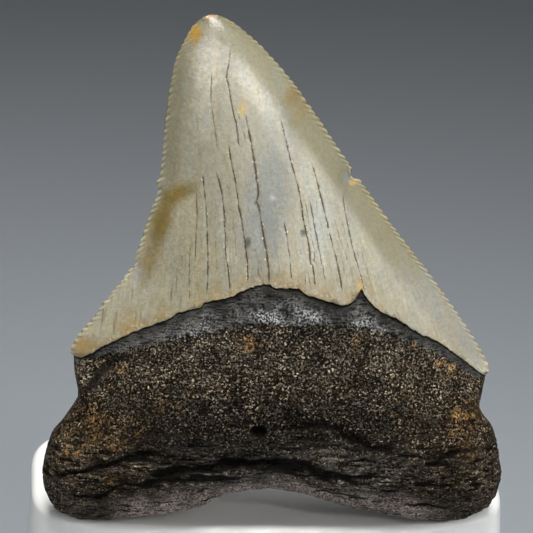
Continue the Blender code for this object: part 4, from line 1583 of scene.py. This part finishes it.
@dataclass
class Tooth:
    """The fossil tooth, one closed mesh with two finishes."""

    form: ToothForm = field(default_factory=ToothForm)
    relief: Relief = field(default_factory=Relief)
    enamel: EnamelFinish = field(default_factory=EnamelFinish)
    root: RootFinish = field(default_factory=RootFinish)
    lean: float = 10.0
    settle: float = 0.12  # how far its lowest point lies below the solid's

    def build(self) -> bpy.types.Object:
        """Models the tooth, sets it on the block and dresses it.

        Returns:
            The finished piece.
        """
        quick = {}
        shaper = ToothShaper(self.form, self.relief, **quick)
        sheets = [self.sheet(patch, part) for patch, part in shaper.patches()]
        tooth = self.joined(sheets)
        self.raise_relief(tooth)
        triangles = 2 * len(tooth.data.polygons)
        apply_modifier(tooth, "DECIMATE", ratio=min(1.0, FACE_BUDGET / triangles), use_collapse_triangulate=True)
        seat = self.seated(tooth)
        tooth.data.transform(seat.matrix())
        self.dress(tooth, seat)
        return tooth

    @staticmethod
    def sheet(patch: Patch, part: Part) -> bpy.types.Object:
        """Adds a grid and shapes it to a patch.

        Args:
            patch: The patch.
            part: The part of the tooth that it belongs to.

        Returns:
            The shaped grid.
        """
        rows, columns = patch.points.shape[:2]
        deselect_all()
        bpy.ops.mesh.primitive_grid_add(x_subdivisions=columns - 1, y_subdivisions=rows - 1, calc_uvs=False)
        obj = bpy.context.object
        obj.data.vertices.foreach_set("co", patch.points.reshape(-1).astype(np.float32))
        for each in Part:
            obj.data.materials.append(bpy.data.materials.get(each.name) or bpy.data.materials.new(each.name))
        obj.data.polygons.foreach_set("material_index", np.full(len(obj.data.polygons), part.value, np.int32))
        for name, values in patch.marks.items():
            layer = obj.data.attributes.new(name, "FLOAT", "POINT")
            layer.data.foreach_set("value", values.reshape(-1).astype(np.float32))
        return obj

    @staticmethod
    def joined(sheets: list[bpy.types.Object]) -> bpy.types.Object:
        """Joins the four grids along their shared rims into one closed mesh."""
        select(*sheets)
        bpy.ops.object.join()
        tooth = bpy.context.object
        tooth.name = tooth.data.name = "tooth_fossil"
        bpy.ops.object.mode_set(mode="EDIT")
        bpy.ops.mesh.select_all(action="SELECT")
        bpy.ops.mesh.remove_doubles(threshold=1e-4)
        bpy.ops.mesh.normals_make_consistent(inside=False)
        bpy.ops.object.mode_set(mode="OBJECT")
        return tooth

    @staticmethod
    def raise_relief(tooth: bpy.types.Object) -> None:
        """Moves each point out along its normal by its lift."""
        count = len(tooth.data.vertices)
        places, normals = np.empty(3 * count, np.float32), np.empty(3 * count, np.float32)
        lift = np.empty(count, np.float32)
        tooth.data.vertices.foreach_get("co", places)
        tooth.data.vertex_normals.foreach_get("vector", normals)
        tooth.data.attributes["lift"].data.foreach_get("value", lift)
        moved = places.reshape(-1, 3) + normals.reshape(-1, 3) * lift[:, None]
        tooth.data.vertices.foreach_set("co", moved.reshape(-1))
        tooth.data.attributes.remove(tooth.data.attributes["lift"])
        tooth.data.update()

    def seated(self, tooth: bpy.types.Object) -> Seat:
        """Works out where the tooth goes, from the box of the solid that it stands for."""
        low, high = (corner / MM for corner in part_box("tooth"))
        places = np.empty(3 * len(tooth.data.vertices), np.float32)
        tooth.data.vertices.foreach_get("co", places)
        turned = places.reshape(-1, 3) @ np.array(Matrix.Rotation(-math.radians(self.lean), 3, "X")).T
        own_low, own_high = Vector(turned.min(0)), Vector(turned.max(0))
        offset = 0.5 * (low + high) - 0.5 * (own_low + own_high)
        offset.z = low.z - own_low.z - self.settle
        return Seat(self.lean, offset)

    def dress(self, tooth: bpy.types.Object, seat: Seat) -> None:
        """Gives the tooth its finishes and its place in the frame."""
        select(tooth)
        bpy.ops.object.shade_smooth()
        for part, finish in ((Part.CROWN, self.enamel), (Part.ROOT, self.root)):
            tooth.material_slots[part.value].material = finish.material(seat)
        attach(tooth, "root")
        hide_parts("tooth")


@dataclass
class Stand:
    """The moulded block: a superellipse in plan, spreading downwards, with a rounded top edge."""

    finish: PlasticFinish = field(default_factory=PlasticFinish)
    squareness: float = 4.0
    draft: float = 3.0  # degrees
    edge: float = 0.8
    foot: float = 0.4
    top_inset: float = 0.6
    outline_points: int = 288
    edge_steps: int = 8

    def build(self) -> bpy.types.Object:
        """Models the block in the place of its solid.

        Returns:
            The finished piece.
        """
        low, high = (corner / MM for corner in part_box("stand"))
        height = high.z - low.z
        spread = math.tan(math.radians(self.draft))
        reach = high.x - spread * height, high.y - spread * height
        levels = self.levels(height)
        sizes = [tuple(half + spread * (height - z) - inset for half in reach) for inset, z in levels]

        deselect_all()
        bpy.ops.mesh.primitive_circle_add(vertices=self.outline_points, radius=1, fill_type="NGON", calc_uvs=False)
        stand = bpy.context.object
        stand.name = stand.data.name = "stand_block"
        for vertex, (x, y) in zip(stand.data.vertices, self.plan(*sizes[0])):
            vertex.co = (x, y, 0.0)
        bpy.ops.object.mode_set(mode="EDIT")
        bpy.ops.mesh.select_all(action="SELECT")
        for (before, (_, start)), (after, (_, end)) in pairwise(zip(sizes, levels)):
            bpy.ops.mesh.extrude_region_move(TRANSFORM_OT_translate={"value": (0.0, 0.0, end - start)})
            wider = (after[0] / before[0], after[1] / before[1], 1.0)
            bpy.ops.transform.resize(value=wider, center_override=(0.0, 0.0, end))
        bpy.ops.mesh.inset(thickness=self.top_inset)
        bpy.ops.mesh.select_all(action="SELECT")
        bpy.ops.mesh.normals_make_consistent(inside=False)
        bpy.ops.object.mode_set(mode="OBJECT")
        stand.data.transform(Matrix.Scale(MM, 4))
        self.dress(stand)
        return stand

    def levels(self, height: float) -> list[Point]:
        """Returns an inset from the side and a height for each level, from the foot to the rounded top edge."""
        levels = [(self.foot, 0.0), (0.0, self.foot), (0.0, 0.5 * height)]
        for step in range(self.edge_steps + 1):
            turn = 0.5 * math.pi * step / self.edge_steps
            levels.append((self.edge * (1 - math.cos(turn)), height - self.edge * (1 - math.sin(turn))))
        return levels

    def plan(self, half_width: float, half_depth: float) -> list[Point]:
        """Returns the outline at one level, anticlockwise from +X."""
        power = 2 / self.squareness
        turns = (2 * math.pi * k / self.outline_points for k in range(self.outline_points))
        return [
            (half_width * math.copysign(abs(c) ** power, c), half_depth * math.copysign(abs(s) ** power, s))
            for c, s in ((math.cos(turn), math.sin(turn)) for turn in turns)
        ]

    def dress(self, stand: bpy.types.Object) -> None:
        """Gives the block its finish and its place in the frame."""
        select(stand)
        bpy.ops.object.shade_smooth_by_angle(angle=math.radians(35))
        stand.data.materials.append(self.finish.material())
        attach(stand, "root")
        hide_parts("stand")


# ---- The studio ----


def direction(azimuth: float, elevation: float) -> Vector:
    """Returns the unit vector towards a place round the tooth, with azimuth 0 in front of its inner face."""
    turn, rise = math.radians(azimuth), math.radians(elevation)
    return Vector((math.sin(turn) * math.cos(rise), -math.cos(turn) * math.cos(rise), math.sin(rise)))


@dataclass(frozen=True)
class SoftLight:
    """A square soft light that looks at the tooth. Angles are in degrees, and lengths in metres."""

    name: str
    azimuth: float
    elevation: float
    size: float
    watts: float
    spread: float = 120.0
    colour: Colour = (1.0, 1.0, 1.0)
    distance: float = 0.45
    aim: tuple[float, float, float] = (0.0, 0.0, 0.0)

    def build(self, target: Vector) -> None:
        """Adds the light. It looks at the target, moved by its aim."""
        light = bpy.data.lights.new(self.name, "AREA")
        light.size = self.size
        light.energy = self.watts
        light.spread = math.radians(self.spread)
        light.color = self.colour
        obj = bpy.data.objects.new(self.name, light)
        bpy.context.scene.collection.objects.link(obj)
        away = direction(self.azimuth, self.elevation)
        obj.location = target + Vector(self.aim) + away * self.distance
        obj.rotation_euler = away.to_track_quat("Z", "Y").to_euler()


@dataclass
class Studio:
    """The pale floor, the soft lights and the camera."""

    floor: FloorFinish = field(default_factory=FloorFinish)
    lights: tuple[SoftLight, ...] = (
        SoftLight("overhead", 0, 66, 0.20, 0.34, 55, (1.0, 0.99, 0.97)),
        SoftLight("top", 0, 84, 0.15, 0.03, 35, (1.0, 0.99, 0.97)),
        SoftLight("low_front", 0, 6, 0.50, 0.64, 140, (1.0, 1.0, 0.99)),
        SoftLight("right", 80, 25, 0.20, 0.115, 80, (1.0, 1.0, 1.0)),
        SoftLight("left", -80, 25, 0.20, 0.036, 80, (0.97, 0.99, 1.0)),
        SoftLight("behind", 178, -7, 0.012, 0.006, 10, (1.0, 1.0, 1.0), aim=(0.0, 0.0, 0.012)),
        SoftLight("accent", 32, 28, 0.14, 0.014, 12, (1.0, 0.99, 0.97), aim=(0.0, 0.0, 0.012)),
    )
    sky: float = 0.02
    target: tuple[float, float, float] = (-0.0010, -0.00836, 0.04977)
    azimuth: float = -3.6
    elevation: float = 21.5
    distance: float = 0.45
    roll: float = 1.7
    pixels_per_mm: float = 9.5  # at the target
    image_width: int = 533
    sensor: float = 36.0

    def build(self) -> None:
        """Builds all of it."""
        self.lay_floor()
        target = Vector(self.target)
        for light in self.lights:
            light.build(target)
        self.light_sky()
        self.place_camera(target)
        bpy.context.scene.view_settings.view_transform = "Standard"

    def lay_floor(self) -> None:
        """Adds the floor under the block."""
        deselect_all()
        bpy.ops.mesh.primitive_plane_add(size=6.0, calc_uvs=False)
        floor = bpy.context.object
        floor.name = "floor"
        floor.data.materials.append(self.floor.material())

    def light_sky(self) -> None:
        """Gives the room its even, dim light."""
        world = bpy.data.worlds.new("room")
        world.use_nodes = True
        background = world.node_tree.nodes["Background"]
        background.inputs["Color"].default_value = (0.93, 0.96, 1.0, 1.0)
        background.inputs["Strength"].default_value = self.sky
        bpy.context.scene.world = world

    def place_camera(self, target: Vector) -> None:
        """Adds the camera, looking slightly down at the tooth's inner face."""
        away = direction(self.azimuth, self.elevation)
        lens = bpy.data.cameras.new("camera")
        lens.sensor_width = self.sensor
        lens.lens = self.pixels_per_mm * self.distance / MM / self.image_width * self.sensor
        camera = bpy.data.objects.new("camera", lens)
        bpy.context.scene.collection.objects.link(camera)
        camera.location = target + away * self.distance
        look = (-away).to_track_quat("-Z", "Y").to_matrix() @ Matrix.Rotation(math.radians(self.roll), 3, "Z")
        camera.rotation_euler = look.to_euler()
        bpy.context.scene.camera = camera


def main() -> None:
    """Builds the scene."""
    logging.basicConfig(level=logging.INFO, format="%(name)s: %(message)s")
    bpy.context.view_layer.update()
    Studio().build()
    for maker in (Stand(), Tooth()):
        piece = maker.build()
        log.info("%s: %d faces", piece.name, len(piece.data.polygons))


if __name__ == "__main__":
    main()
